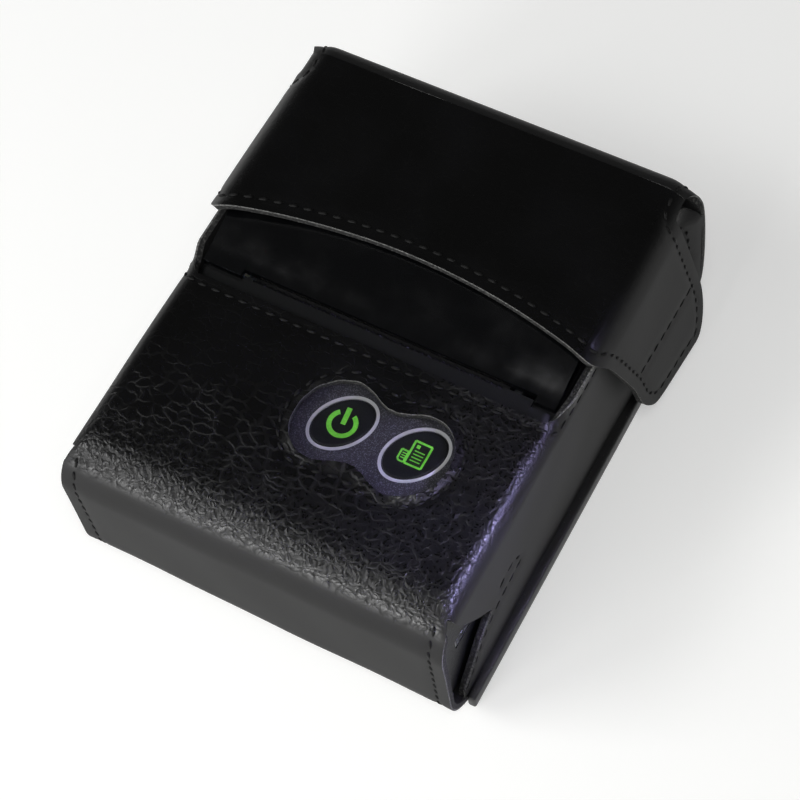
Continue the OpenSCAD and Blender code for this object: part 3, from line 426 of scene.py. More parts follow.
def sew(name, surface, seams, shape):
    """One bead of thread for each stitch of the seams, on the folded surface with its height."""
    bm = bmesh.new()
    count = 0
    for seam in seams:
        place, way = evenly(seam, STITCH_PITCH)
        a, t = place.T
        lift = shape(a, t) - SUNK
        ahead = surface(a + way[:, 0], t + way[:, 1]) - surface(a - way[:, 0], t - way[:, 1])
        for spot, up, run, height in zip(surface(a, t), out_of(surface, a, t), ahead, lift):
            up, run = Vector(up), Vector(run)
            run = (run - up * run.dot(up)).normalized()
            turned = run * math.cos(SLANT) + up.cross(run) * math.sin(SLANT)
            size = Matrix((turned * STITCH_LENGTH, up.cross(turned) * STITCH_WIDTH,
                           up * STITCH_HEIGHT)).transposed().to_4x4()
            middle = Matrix.Translation(Vector(spot) + up * height)
            bmesh.ops.create_icosphere(bm, subdivisions=1, radius=0.5, matrix=middle @ size)
        count += len(place)
    bmesh.ops.scale(bm, vec=(MM, MM, MM), verts=bm.verts)
    bmesh.ops.recalc_face_normals(bm, faces=bm.faces)
    for face in bm.faces:
        face.smooth = True
    print(name, count, "stitches")
    return as_object(name, bm, thread_black)


# Waxed black polyester thread: three plies twisted, with a dull sheen.
PLY = 0.45  # mm
thread_black, tree, inputs = new_material("waxed polyester thread, black", "#060606", 0.72,
                                          Specular_IOR_Level=0.25)
plies = add(tree, "TexWave", {"wave_type": "BANDS", "bands_direction": "DIAGONAL"},
            size=WAVE * PLY)
draw(tree, inputs, plies, ((0.2, "#050505"), (0.9, "#0e0e0e")), 0.6, 0.06)
print("thread ready, a stitch every", STITCH_PITCH, "mm")

# %% [markdown]
# ## Folding the sheet
# A fold function gives the place on the finished case for each point of the flat pattern. The
# plate's points are moved there, and its thickness follows the direction out of the surface. That
# keeps every edge square to the leather, as on the real piece. The grid is finer along the seams,
# where the thread pulls its channel.

# %% Fold a plate
SKIN, LINING = (0.0, -0.4), (-0.4, -1.5)  # levels of the two layers under the grain side, mm
FINE_FROM = 0.02                          # a channel deeper than this gets the finer grid, mm


def fold(piece, surface, seams, shape, grain):
    """Moves a flat plate to its folded place. shape(a, t) adds height, grain(a, t) gives the
    strength of the leather's creases, of its pebbles, and how dull it is."""
    mesh = piece.data
    flat = np.empty(len(mesh.vertices) * 3)
    mesh.vertices.foreach_get("co", flat)
    a, t, height = flat.reshape(-1, 3).T
    of_vertex = np.empty(len(mesh.loops), int)
    mesh.loops.foreach_get("vertex_index", of_vertex)
    uv = mesh.uv_layers.new(name="pattern")
    uv.data.foreach_set("uv", np.stack((a[of_vertex], t[of_vertex]), 1).ravel())
    for face in mesh.polygons:
        face.material_index = 1 if abs(face.normal.z) < 0.5 else 0  # 1 is the cut edge
    height = height - seam_depth(a, t, seams) + shape(a, t)
    placed = surface(a, t) + out_of(surface, a, t) * height[:, None]
    mesh.vertices.foreach_set("co", (placed * MM).ravel())
    strengths = np.stack([part + 0 * a for part in grain(a, t)], 1).astype("f")
    attribute = mesh.attributes.new("grain", "FLOAT_VECTOR", "POINT")
    attribute.data.foreach_set("vector", strengths.ravel())
    bm = bmesh.new()
    bm.from_mesh(mesh)
    bmesh.ops.recalc_face_normals(bm, faces=bm.faces)
    for edge in bm.edges:
        edge.smooth = len(edge.link_faces) == 2 and \
            edge.link_faces[0].material_index == edge.link_faces[1].material_index
    for face in bm.faces:
        face.smooth = True
    bm.to_mesh(mesh)
    bm.free()
    mesh.update()


print("leather lies", SKIN, "and its lining", LINING)

# %% A plate and its thread


def leather_plate(name, columns, rows, levels, seams, materials, keep=None):
    """A flat plate between two levels under the grain side, finer along the seams."""
    bm = flat_sheet(columns, rows, keep)
    if seams:
        a, t = np.array([v.co.xy for v in bm.verts]).T
        close = seam_depth(a, t, seams) > FINE_FROM
        bm.verts.ensure_lookup_table()
        bm.verts.index_update()
        fine = [e for e in bm.edges if close[e.verts[0].index] and close[e.verts[1].index]]
        bmesh.ops.subdivide_edges(bm, edges=fine, cuts=1, use_grid_fill=True)
    bmesh.ops.solidify(bm, geom=bm.faces[:], thickness=1)
    middle = sum(v.co.z for v in bm.verts) / len(bm.verts)
    for v in bm.verts:
        v.co.z = levels[0] if v.co.z > middle else levels[1]
    bmesh.ops.recalc_face_normals(bm, faces=bm.faces)
    return as_object(name, bm, *materials)


def sewn_leather(names, columns, rows, cuts, surface, seams, shape, grain, keep=None):
    """The leather, the lining and the thread of one pattern. cuts are (outline, operation)."""
    pieces = []
    for layer, levels, pulled, materials in (("leather", SKIN, seams, (black_leather, cut_edge)),
                                             ("lining", LINING, [], (felt, felt_edge))):
        piece = leather_plate(names % layer, columns, rows, levels, pulled, materials, keep)
        for outline, operation in cuts:
            cut(piece, outline, operation)
        fold(piece, surface, pulled, shape, grain)
        pieces.append(piece)
        print(piece.name, len(piece.data.polygons), "faces")
    return pieces + [sew(names % "stitching", surface, seams, shape)]


print("fold tools ready")

# %% [markdown]
# ## The pouch's pattern
# One piece of leather makes the top panel, the nose, the front, the bottom and both side walls. In
# the pattern, a runs across and t runs from the opening forwards over the nose and under the
# printer. The side walls are slit at the front corners, where the flat leather can't follow both
# bends.

# %% The pouch's measures
CASE_X, CASE_TOP, FRONT_Y = 41.5, 43.0, -53.0
PANEL_Y, POUCH_REAR = -4.8, 51.0           # rear edges of the top panel and of the walls
FOLD_R, NOSE_R, LOW_R = 4.0, 11.0, 12.0
FOLD_X, FOLD_Z = CASE_X - FOLD_R, CASE_TOP - FOLD_R
QUARTER = math.pi / 2
TOP_END = -(FRONT_Y + NOSE_R) + PANEL_Y    # where each part of the pattern ends
NOSE_END = TOP_END + NOSE_R * QUARTER
FACE_END = NOSE_END + CASE_TOP - NOSE_R - LOW_R
LOW_END = FACE_END + LOW_R * QUARTER
BOTTOM_END = LOW_END + POUCH_REAR - (FRONT_Y + LOW_R)
WALL_END = PANEL_Y - POUCH_REAR
WALL_A = FOLD_X + FOLD_R * QUARTER         # where the wall starts, across the pattern
RIDGE_END = TOP_END + NOSE_R * math.acos(1 - FOLD_R / NOSE_R)
RIM_RISE = 7.0                             # over which the round fold turns into an upright rim
CORNER_REACH = 1.6                         # how far the sharp corner is averaged, mm
ANY_WIDTH = 1000.0                         # stands for no limit
print("pattern runs to", [round(v, 1) for v in (TOP_END, NOSE_END, FACE_END, LOW_END, BOTTOM_END)])

# %% The pouch's fold


def smooth_step(x):
    x = np.clip(x, 0, 1)
    return x * x * (3 - 2 * x)


def pouch_folds(a, t):
    """The pouch with sharp corners where the nose meets the walls; a is positive."""
    nose = np.clip((t - TOP_END) / NOSE_R, 0, QUARTER)
    low = np.clip((t - FACE_END) / LOW_R, 0, QUARTER)
    y = PANEL_Y - np.minimum(t, TOP_END) - NOSE_R * np.sin(nose) + LOW_R * (1 - np.cos(low)) \
        + np.maximum(t - LOW_END, 0)
    z = CASE_TOP - NOSE_R * (1 - np.cos(nose)) - np.clip(t - NOSE_END, 0, FACE_END - NOSE_END) \
        - LOW_R * np.sin(low)
    start = np.arccos(np.clip((z - FOLD_Z) / FOLD_R, 0, 1))
    beyond = np.maximum(a - FOLD_X - FOLD_R * np.sin(start), 0)
    turn = np.minimum(start + beyond / FOLD_R, QUARTER)
    down = np.maximum(beyond - FOLD_R * (QUARTER - start), 0)
    wall = np.stack((FOLD_X + FOLD_R * np.sin(turn), y, FOLD_Z + FOLD_R * np.cos(turn) - down), 1)
    upright = np.stack((np.full_like(a, CASE_X), y, FOLD_Z + WALL_A - a), 1)
    wall = wall + (upright - wall) * smooth_step(-t / RIM_RISE)[:, None]
    return np.where((beyond > 1e-6)[:, None], wall, np.stack((a, y, z), 1))


def pouch(a, t):
    """A point of the pouch in mm. The corners over the nose are rounded by an average of points
    around each one. The strip down the front ends at the case's side and has no wall."""
    side, a = np.where(a < 0, -1.0, 1.0), np.abs(a)
    reach = CORNER_REACH * np.exp(-((a - FOLD_X - 2) / 4) ** 2 - ((t - TOP_END - 5) / 7) ** 2)
    widest = np.where((t > RIDGE_END - 1) & (a < CASE_X + 0.2), CASE_X, ANY_WIDTH)
    place = sum(pouch_folds(np.minimum(a + reach * i, widest), t + reach * j)
                for i in (-1, 0, 1) for j in (-1, 0, 1)) / 9
    place[:, 0] *= side
    return place


def on_wall(*places):
    """Where places (y, z) of the side wall lie in the pattern."""
    line = []
    for y, z in places:
        nose = math.asin(max(0, min(1, (FRONT_Y + NOSE_R - y) / NOSE_R)))
        top = CASE_TOP - NOSE_R * (1 - math.cos(nose))
        start = math.acos(min(1, max(0, (top - FOLD_Z) / FOLD_R)))
        across = FOLD_X + FOLD_R * (math.sin(start) + QUARTER - start) + FOLD_Z - z
        line.append((across, TOP_END + NOSE_R * nose if nose else PANEL_Y - y))
    return line


print("the nose starts at", pouch(np.zeros(1), np.full(1, TOP_END)).round(2))

# %% [markdown]
# ## Window, opening and slits
# The window over the keys is two ovals that run together. Its outline is found by walking out from
# the middle until a smooth blend of the two ovals ends. The opening over the printer's lid has
# small round corners, and each slit is a long thorn shape.

# %% The window's outline
LOBES = ((2.55, -21.5), (18.95, -21.9))
LOBE_LONG, LOBE_SHORT, LOBE_TILT = 9.2, 7.7, math.radians(70)
NECK = 9.5                            # softness of the neck between the lobes, mm
WINDOW_MIDDLE = np.mean(LOBES, axis=0)
WINDOW_POINTS, WIDEST_WINDOW, HALVINGS = 120, 40.0, 40


def oval(x, y, centre, tilt, long_half, short_half):
    """Where a point lies in a tilted oval: along and across it, 1 at its rim."""
    dx, dy = x - centre[0], y - centre[1]
    return ((dx * math.cos(tilt) + dy * math.sin(tilt)) / long_half,
            (-dx * math.sin(tilt) + dy * math.cos(tilt)) / short_half)


def window_gap(x, y):
    """Rough distance from the window's rim, negative inside it."""
    left, right = ((np.hypot(*oval(x, y, centre, LOBE_TILT, LOBE_LONG, LOBE_SHORT)) - 1)
                   * (LOBE_LONG + LOBE_SHORT) / 2 for centre in LOBES)
    mix = np.clip(0.5 + 0.5 * (right - left) / NECK, 0, 1)
    return right * (1 - mix) + left * mix - NECK * mix * (1 - mix)


def window_outline(grow):
    """The line at this gap from the rim. Along each ray the search is halved again and again."""
    angle = np.arange(WINDOW_POINTS) * 2 * math.pi / WINDOW_POINTS
    inner, outer = np.zeros(WINDOW_POINTS), np.full(WINDOW_POINTS, WIDEST_WINDOW)
    ray = np.stack((np.cos(angle), np.sin(angle)))
    for _ in range(HALVINGS):
        radius = (inner + outer) / 2
        inside = window_gap(*(WINDOW_MIDDLE[:, None] + radius * ray)) < grow
        inner, outer = np.where(inside, radius, inner), np.where(inside, outer, radius)
    rim = (WINDOW_MIDDLE[:, None] + inner * ray).T
    return [(float(x), float(PANEL_Y - y)) for x, y in rim][::-1]


window = window_outline(0)
print("window", len(window), "points")

# %% Slits and opening
OPENING_A, OPENING_R, WALL_CORNER_R = 39.85, 2.5, 4.0  # half its width, and corner radii


def arc(centre, radius, start, end, count=8):
    """Points along an arc between two angles in degrees."""
    turns = [math.radians(start + (end - start) * i / count) for i in range(count + 1)]
    return [(centre[0] + radius * math.cos(u), centre[1] + radius * math.sin(u)) for u in turns]


# where the strip over the nose parts from the wall: along the ridge between them
ridge = [(FOLD_X + FOLD_R * math.sin(turn), TOP_END + NOSE_R * math.acos(
    1 - FOLD_R * (1 - math.cos(turn)) / NOSE_R)) for turn in spaced((0.82, 0.12), (QUARTER, 1))]
slit = smooth_path([ridge[0]] + on_wall((-46.2, 37.6), (-44.0, 33.0), (-39.0, 25.8),
                                        (-34.5, 20.6)))
slit += smooth_path(on_wall((-34.2, 19.9), (-39.7, 16.9), (-42.2, 12.9), (-44.7, 9.6),
                            (-47.2, 6.4), (-48.4, 1.5)))
slit += [(slit[-1][0], RIDGE_END + 3), (CASE_X, RIDGE_END + 3)] + ridge[:0:-1]
half = arc((OPENING_A - OPENING_R, -OPENING_R), OPENING_R, 90, 0) \
    + arc((OPENING_A + WALL_CORNER_R, WALL_END + WALL_CORNER_R), WALL_CORNER_R, 180, 270) \
    + [(OPENING_A + WALL_CORNER_R, WALL_END - 5)]
opening = half + mirrored(half)
print("opening", len(opening), "points, slit", len(slit))

# %% The pouch's seams
SEAM_A = OPENING_A + 2.5      # the seam beside the opening
STRIP_SEAM_X = 38.6
# along the wall's rear edge, forwards beside the opening and in along its front edge
half_rim = smooth_path([(WALL_A + 38, WALL_END + 2.6), (OPENING_A + 8.5, WALL_END + 2.6),
                        (OPENING_A + 2.6, WALL_END + 4.4), (SEAM_A, WALL_END + 9),
                        (SEAM_A, WALL_END + 24), (SEAM_A, -4.0), (OPENING_A + 2.4, 0.6),
                        (37.8, 1.8), (34.0, 1.8)])
strip_seam = [(STRIP_SEAM_X, t) for t in spaced((RIDGE_END - 2.5, 1.0), (LOW_END + 3, 1.0))]
dart_seam = smooth_path(on_wall((-49.6, 4.2), (-47.2, 6.0), (-44.6, 7.4), (-42.0, 11.4),
                                (-39.0, 15.6), (-34.0, 18.0), (-28.0, 18.6), (-22.0, 19.4)))
tongue_seam = smooth_path(on_wall((-22.4, 20.6), (-24.6, 23.6), (-28.0, 23.7), (-31.4, 22.4)))
window_seam = window_outline(2.0)
window_seam.append(window_seam[0])
pouch_seams = [half_rim + mirrored(half_rim), window_seam]
for seam in (strip_seam, dart_seam, tongue_seam):
    pouch_seams += [seam, mirrored(seam)]
print(len(pouch_seams), "seams on the pouch")

# %% [markdown]
# ## The pouch
# Two plates make it: a skin of 0.4 mm and a lining of 1.1 mm under it, cut with the same outlines.
# Small hollows and swellings are added by height, because a hand-bent hide is never quite flat.
# The creases are full over the top. The hide is stretched on the nose and right of the window, and
# stands in pebbles there. The walls and the front are smooth.

# %% Heights and grain of the pouch
CURL_START, CURL_RUN, CURL = -48.6, 7.4, 3.3  # the walls bend outwards near their rear edges
GRAIN_END = TOP_END + 8.6                     # the grain ends where the smooth front begins


def pouch_waves(a, t):
    broad = np.sin(a / 9.0 + 1.3) * np.sin(t / 10.5 + 0.5) + 0.5 * np.sin(a / 4.3 - t / 5.1 + 2)
    rim = window_gap(a, PANEL_Y - t)
    angle = np.arctan2(PANEL_Y - t - WINDOW_MIDDLE[1], a - WINDOW_MIDDLE[0])
    pucker = np.exp(-np.maximum(rim, 0) / 2.6) * (0.16 * np.sin(9 * angle + 1) - 0.25) \
        + np.exp(-(rim / 0.9) ** 2) * (0.5 + 0.12 * np.sin(23 * angle))
    on_top = smooth_step((FOLD_X + 2 - np.abs(a)) / 4) * smooth_step((TOP_END + 4 - t) / 6)
    bulge = 0.35 * np.exp(-((np.abs(a) - WALL_A - 24) / 7) ** 2 - ((t - TOP_END + 4) / 9) ** 2)
    curl = CURL * smooth_step((CURL_START - t) / CURL_RUN) \
        * smooth_step((np.abs(a) - OPENING_A) / 4)
    return 0.09 * broad - 0.1 + np.where(rim < 9, pucker, 0) * on_top + bulge + curl


def pouch_grain(a, t):
    """Creases fade towards the lid, pebbles stand on the nose and along the right fold."""
    top = (1 - smooth_step((np.abs(a) - FOLD_X - 1) / 4)) \
        * (1 - smooth_step((t - GRAIN_END) / 2.5))
    nose, right_side = smooth_step((t - 12) / 20), smooth_step((a - 10) / 16)
    creases = 0.25 + 0.75 * np.maximum(nose, 0.8 * right_side)
    pebbles = np.maximum(smooth_step((t - TOP_END + 9) / 9), smooth_step((a - 12) / 14))
    return creases * (1 - 0.5 * pebbles) * top + 0.02, pebbles * top, 1 - top


def in_pouch(a, t):
    return abs(a) < CASE_X if t > RIDGE_END else abs(a) > OPENING_A - 2 or t > -1.5


print("the grain ends", round(GRAIN_END - TOP_END, 1), "mm down the nose")

# %% The pouch's plates
SNAP = 0.56  # a column this close to the side of the strip is moved onto it, mm
columns = [math.copysign(CASE_X, c) if abs(abs(c) - CASE_X) < SNAP else c
           for c in spaced((-80, 1.6), (-50, 1.1), (-36, 1.0), (36, 1.1), (50, 1.6), (80, 1))]
rows = spaced((WALL_END - 0.7, 2.2), (-8, 1.1), (TOP_END, 0.95), (NOSE_END, 1.2), (FACE_END, 1.2),
              (LOW_END, 5), (BOTTOM_END, 1))
cuts = [(outline, "DIFFERENCE") for outline in (opening, window, slit, mirrored(slit))]
pouch_skin, pouch_felt, pouch_thread = sewn_leather(
    "pouch_%s", columns, rows, cuts, pouch, pouch_seams, pouch_waves, pouch_grain, in_pouch)
for piece in (pouch_skin, pouch_felt, pouch_thread):
    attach(piece, "printer")
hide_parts("case_pouch")

# %% [markdown]
# ## The flap
# The flap is one piece with two ears that hang down over the side walls and hold on hook tape. Its
# front edge is a shallow arc. The sheet goes flat over the top, round a wide fold on each side,
# and straight down the ears, which stand a little outwards.

# %% The flap's fold
FLAP_TOP, FLAP_FLAT, FLAP_R, FLARE = 48.0, 37.1, 6.5, math.radians(6.8)
FLAP_CENTRE_Z = FLAP_TOP - FLAP_R
EAR_TURN = QUARTER - FLARE
EAR_A = FLAP_FLAT + FLAP_R * EAR_TURN
EAR_Z = FLAP_CENTRE_Z + FLAP_R * math.cos(EAR_TURN)


def flap(a, t):
    """A point of the flap in mm; t is its y where the flap is flat."""
    side, a = np.where(a < 0, -1.0, 1.0), np.abs(a)
    turn = np.clip((a - FLAP_FLAT) / FLAP_R, 0, EAR_TURN)
    down = np.maximum(a - EAR_A, 0)
    x = np.minimum(a, FLAP_FLAT) + FLAP_R * np.sin(turn) + down * math.sin(FLARE)
    z = FLAP_CENTRE_Z + FLAP_R * np.cos(turn) - down * math.cos(FLARE)
    return np.stack((side * x, t + 0 * a, z), 1)


flap.facing = -1


def on_ear(*places):
    """Where places (y, z) of the ear lie in the pattern."""
    return [(FLAP_FLAT + FLAP_R * math.acos(min(1, (z - FLAP_CENTRE_Z) / FLAP_R)) if z > EAR_Z
             else EAR_A + (EAR_Z - z) / math.cos(FLARE), y) for y, z in places]


print("the ear starts", round(EAR_A, 1), "mm from the middle")

# %% The flap's outline and seams
FLAP_FRONT, FLAP_ARC, ARC_HALF = 7.3, 7.0, 43.6  # the arc of the front edge, its rise and width
FLAP_REAR, SHEET_REAR = 49.0, 42.4               # rear edge, and half the sheet's width there
HEM = 2.6                                        # from an edge to the seam along it
front_arc = [(x, FLAP_FRONT + FLAP_ARC * (1 - (x / ARC_HALF) ** 2))
             for x in spaced((0, 3), (36, 1))]
ear = on_ear((12.1, 40.3), (14.9, 32.9), (17.2, 26.6), (19.0, 21.8), (19.9, 17.1), (20.6, 13.6),
             (22.8, 10.0), (25.0, 7.6), (28.8, 6.6), (33.9, 5.8), (41.0, 4.7), (44.6, 4.0),
             (46.9, 6.9), (48.4, 12.2), (48.6, 18.4), (47.2, 25.9), (45.2, 36.9), (43.9, 43.9),
             (44.2, 45.8))
half_flap = front_arc + smooth_path(
    [(36.0, front_arc[-1][1]), (39.0, 8.6), (42.0, 8.3), (44.6, 9.6)] + ear
    + [(SHEET_REAR, 46.6), (SHEET_REAR, 48.2)])
half_flap.append((SHEET_REAR, FLAP_REAR + 1))
flap_outline = half_flap + mirrored(half_flap)[:-1]
hem = [point for point in inset(half_flap, HEM) if point[1] < FLAP_REAR]
patch_hem = smooth_path(on_ear((21.3, 24.0), (30, 23.0), (38, 22.5), (45.0, 22.2)))
flap_seams = [mirrored(hem) + hem[1:], patch_hem, mirrored(patch_hem)]
print("flap outline", len(flap_outline), "points")

# %% [markdown]
# ## Flap leather
# The top of the flap sinks a little between the printer's edges. Its grain is faint, and the ears
# are smooth. A seam across each ear holds the hook tape behind it.

# %% The flap


def flap_waves(a, t):
    flat = smooth_step((FLAP_FLAT - np.abs(a)) / 8)
    sag = -0.35 * flat * np.sin(np.clip((t - 12) / 34, 0, 1) * math.pi)
    broad = np.sin(a / 8.2 + 0.4) * np.sin(t / 7.4) + 0.5 * np.sin(a / 4.6 + t / 5.7)
    return sag + 0.1 * broad - 0.1


def flap_grain(a, t):
    side = smooth_step((np.abs(a) - FLAP_FLAT - 2) / 7)
    return 0.14 - 0.1 * side, 0.12 * (1 - side), side


ear_columns = spaced((EAR_A + 43, 1.7), (EAR_A, 1.0), (FLAP_FLAT, 1.15), (0, 1))
flap_columns = [-c for c in ear_columns] + ear_columns[-2::-1]
flap_rows = spaced((6.0, 1.1), (FLAP_REAR, 1))
flap_skin, flap_felt, flap_thread = sewn_leather(
    "flap_%s", flap_columns, flap_rows, [(flap_outline, "INTERSECT")], flap, flap_seams,
    flap_waves, flap_grain)
for piece in (flap_skin, flap_felt, flap_thread):
    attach(piece, "flap")
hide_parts("case_flap")

# %% [markdown]
# ## The back strip
# The same sheet goes on down behind the printer and under it. It bends at two places when the case
# opens: at the base and at the flap. Each half of the strip is a piece of its own. The leather is
# kept flat just at the upper fold, where it bends tightest.

# %% The back strip's fold
BACK_R, BACK_Y, LOW_FOLD_R = 4.0, 53.0, 2.0
BACK_ARC = FLAP_REAR + BACK_R * QUARTER    # where each part of the pattern ends
BACK_END = BACK_ARC + FLAP_TOP - BACK_R - LOW_FOLD_R
BACK_LOW = BACK_END + LOW_FOLD_R * QUARTER
BACK_MIDDLE = (BACK_ARC + BACK_END) / 2
SIDE_FADE = 10.0                           # over which the round sides of the flap go flat


def back(a, t):
    """The back strip: t goes on from the flap, over its fold, down and under."""
    top = np.clip((t - FLAP_REAR) / BACK_R, 0, QUARTER)
    low = np.clip((t - BACK_END) / LOW_FOLD_R, 0, QUARTER)
    y = np.minimum(t, FLAP_REAR) + BACK_R * np.sin(top) - LOW_FOLD_R * (1 - np.cos(low)) \
        - np.maximum(t - BACK_LOW, 0)
    z = FLAP_TOP - BACK_R * (1 - np.cos(top)) - np.clip(t - BACK_ARC, 0, BACK_END - BACK_ARC) \
        - LOW_FOLD_R * np.sin(low)
    side, a = np.where(a < 0, -1.0, 1.0), np.abs(a)
    turn = np.maximum(a - FLAP_FLAT, 0) / FLAP_R
    rounded = 1 - smooth_step((t - FLAP_REAR) / SIDE_FADE)
    x = a + rounded * (np.minimum(a, FLAP_FLAT) + FLAP_R * np.sin(turn) - a)
    inward = rounded * FLAP_R * (1 - np.cos(turn))
    return np.stack((side * x, y - inward * np.sin(top), z - inward * np.cos(top)), 1)


back.facing = -1


def back_waves(a, t):
    off_fold = smooth_step(np.abs(t - BACK_ARC + 1) / 5)
    return off_fold * (0.12 * np.sin(a / 9.0) * np.sin(t / 8.0) - 0.12)


print("the back strip is", round(BACK_LOW - FLAP_REAR, 1), "mm long")

# %% The back strip's two halves
strip_edge = smooth_path([(SHEET_REAR, FLAP_REAR - 1), (SHEET_REAR, FLAP_REAR + 1),
                          (43.6, BACK_ARC), (44.8, BACK_ARC + 8), (44.9, BACK_END - 14),
                          (43.6, BACK_END - 4), (41.2, BACK_END), (40.6, BACK_LOW + 1)])
strip_hem = inset(strip_edge, HEM)
half = [0, 10, 20, 30] + spaced((35, 0.8), (45, 1))
strip_columns = [-c for c in half[:0:-1]] + half
cuts = [(strip_edge + mirrored(strip_edge), "INTERSECT")]
parts = (("upper", FLAP_REAR, BACK_MIDDLE, ("back", "flap"),
          (0, BACK_Y, FLAP_TOP - 2.5), (0, BACK_Y - 1.0, FLAP_TOP - 0.5)),
         ("lower", BACK_MIDDLE, BACK_LOW, ("printer", "back"),
          (0, POUCH_REAR, 0), (0, BACK_Y, 4.5)))
for part, start, end, bodies, low_end, high_end in parts:
    seams = [[point for point in row if start < point[1] < min(end, BACK_LOW - 1)]
             for row in (strip_hem, mirrored(strip_hem))]
    skin, under, thread = sewn_leather(
        "back_%s_" + part, strip_columns, spaced((start, 1.3), (end, 1)), cuts, back, seams,
        back_waves, lambda a, t: (0.1, 0.1, 0.7))
    for piece in (skin, under, thread):
        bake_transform(piece)
    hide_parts("case_back")

# %% [markdown]
# ## Base board
# A stiff board closes the bottom. It is bound in thin black leathercloth, so its edges are soft.
# Light grey specks on it are painted glints of its grain. A bevelled copy of the CAD solid does
# it:
# copying keeps the exact size, and the bevel gives the edge its highlight.

# %% Bevelled copies of CAD nodes
BODY_OF = {node: body for body, held in frame["record"]["behaviour"]["bodies"].items()
           for node in held}
BEVELLED_FROM = 35  # an edge that turns by more degrees than this is bevelled


def smooth_by_angle(bm, limit):
    for edge in bm.edges:
        edge.smooth = len(edge.link_faces) == 2 and edge.calc_face_angle(0) < math.radians(limit)
    for face in bm.faces:
        face.smooth = True


def merged_copy(node):
    bm = bmesh.new()
    bm.from_mesh(nodes[node].data)
    bmesh.ops.remove_doubles(bm, verts=bm.verts, dist=0.002 * MM)
    bmesh.ops.dissolve_limit(bm, angle_limit=math.radians(1), verts=bm.verts, edges=bm.edges)
    return bm


def bevelled_copy(node, name, width, finish):
    bm = merged_copy(node)
    sharp = [e for e in bm.edges if len(e.link_faces) == 2
             and e.calc_face_angle(0) > math.radians(BEVELLED_FROM)]
    bmesh.ops.bevel(bm, geom=sharp, offset=width * MM, segments=3, profile=0.5, affect="EDGES",
                    material=-1, clamp_overlap=True)
    smooth_by_angle(bm, 40)
    piece = as_object(name, bm, finish)
    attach(piece, BODY_OF[node])
    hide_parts(node)
    print(name, len(piece.data.polygons), "faces on", BODY_OF[node])
    return piece


# Leathercloth: PVC on woven cotton, embossed with a fine grain; its light grey specks are painted
# glints.
leathercloth, tree, inputs = new_material("black PVC leathercloth", "#101010", 0.5)
# painted glints: light grey specks in the colour stand in for highlights on the grain
painted_glints = add(tree, "TexNoise", size=0.5, Detail=2.0)
add(tree, "ValToRGB", {"stops": ((0.66, "#0f0f10"), (0.74, "#4a4a48"))}, Fac=painted_glints,
    to=inputs["Base Color"])
emboss = add(tree, "TexVoronoi", size=0.7)
add(tree, "Bump", Strength=0.6, Distance=0.06 * MM, Height=emboss, to=inputs["Normal"])
base_board = bevelled_copy("case_base_board", "base_board", 0.5, leathercloth)

# %% [markdown]
# ## Keys, rings and faceplate
# Under the window is a printed film with a fine metallic fleck, in dark blue-black. Each key is a
# soft oval button with a shallow dish, framed by a silver line. The green signs are ink, so they
# are shapes of a few hundredths of a millimetre that follow the dish.

# %% Film, rubber and ink
# Printed polyester film: matt, blue-black, with fine mica flecks.
film, tree, inputs = new_material("printed polyester film, blue-black", "#17171a", 0.42)
fleck = add(tree, "TexNoise", size=0.22, Detail=1.0)
draw(tree, inputs, fleck, ((0.52, "#1c1c20"), (0.7, "#56565e")), 0.4, 0.02)
# Key cap: silicone rubber with a silky lacquer, same blue-black.
key_rubber, tree, inputs = new_material("lacquered silicone key, blue-black", "#0a0b0c", 0.4,
                                        Specular_IOR_Level=0.35)
skin_fine = add(tree, "TexNoise", size=0.25, Detail=2.0)
draw(tree, inputs, skin_fine, ((0.4, "#070809"), (0.7, "#101214")), 0.3, 0.015)
# Silver line: vacuum-metallised film, brushed by the print screen.
silver, tree, inputs = new_material("metallised silver film", "#c9cacd", 0.35, Metallic=0.6)
add(tree, "ValToRGB", {"stops": ((0.3, 0.28), (0.7, 0.45))}, to=inputs["Roughness"],
    Fac=add(tree, "TexNoise", size=0.3))
# Screen ink: flat leaf green, a little uneven.
green_ink, tree, inputs = new_material("leaf-green screen ink", "#55a52c", 0.5)
add(tree, "ValToRGB", {"stops": ((0.3, "#4c9a28"), (0.7, "#5fb233"))}, to=inputs["Base Color"],
    Fac=add(tree, "TexNoise", size=0.6))
print("film, rubber and ink ready")

# %% Dished keys
KEY_LONG, KEY_SHORT, KEY_TILT, KEY_TOP, DISH = 6.45, 4.45, math.radians(52), 40.5, 0.28
KEYS = {"power_key": (3.45, -20.3), "feed_key": (19.0, -20.3)}
KEY_EDGE, DISH_RINGS, RING_STEP = 0.18, 9, 0.42  # rounding, and rings of faces to bend, mm


def dish_height(x, y, centre):
    along, aside = oval(x, y, centre, KEY_TILT, KEY_LONG, KEY_SHORT)
    return KEY_TOP - DISH * (1 - min(1.0, along * along + aside * aside)) ** 1.5


def dished_key(node, centre):
    bm = merged_copy(node)
    top = max(bm.faces, key=lambda f: f.calc_center_median().z)
    bmesh.ops.bevel(bm, geom=top.edges[:], offset=KEY_EDGE * MM, segments=3, profile=0.5,
                    affect="EDGES", material=-1)
    top = max(bm.faces, key=lambda f: (round(f.calc_center_median().z, 6), f.calc_area()))
    for _ in range(DISH_RINGS):
        bmesh.ops.inset_region(bm, faces=[top], thickness=RING_STEP * MM)
    for v in bm.verts:
        if v.co.z > (KEY_TOP - 0.02) * MM:
            v.co.z = dish_height(v.co.x / MM, v.co.y / MM, centre) * MM
    bmesh.ops.triangulate(bm, faces=[top], quad_method="BEAUTY", ngon_method="BEAUTY")
    smooth_by_angle(bm, 50)
    piece = as_object(node + "_cap", bm, key_rubber)
    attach(piece, BODY_OF[node])
    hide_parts(node)
    print(piece.name, len(piece.data.polygons), "faces")


for node, centre in KEYS.items():
    dished_key(node, centre)

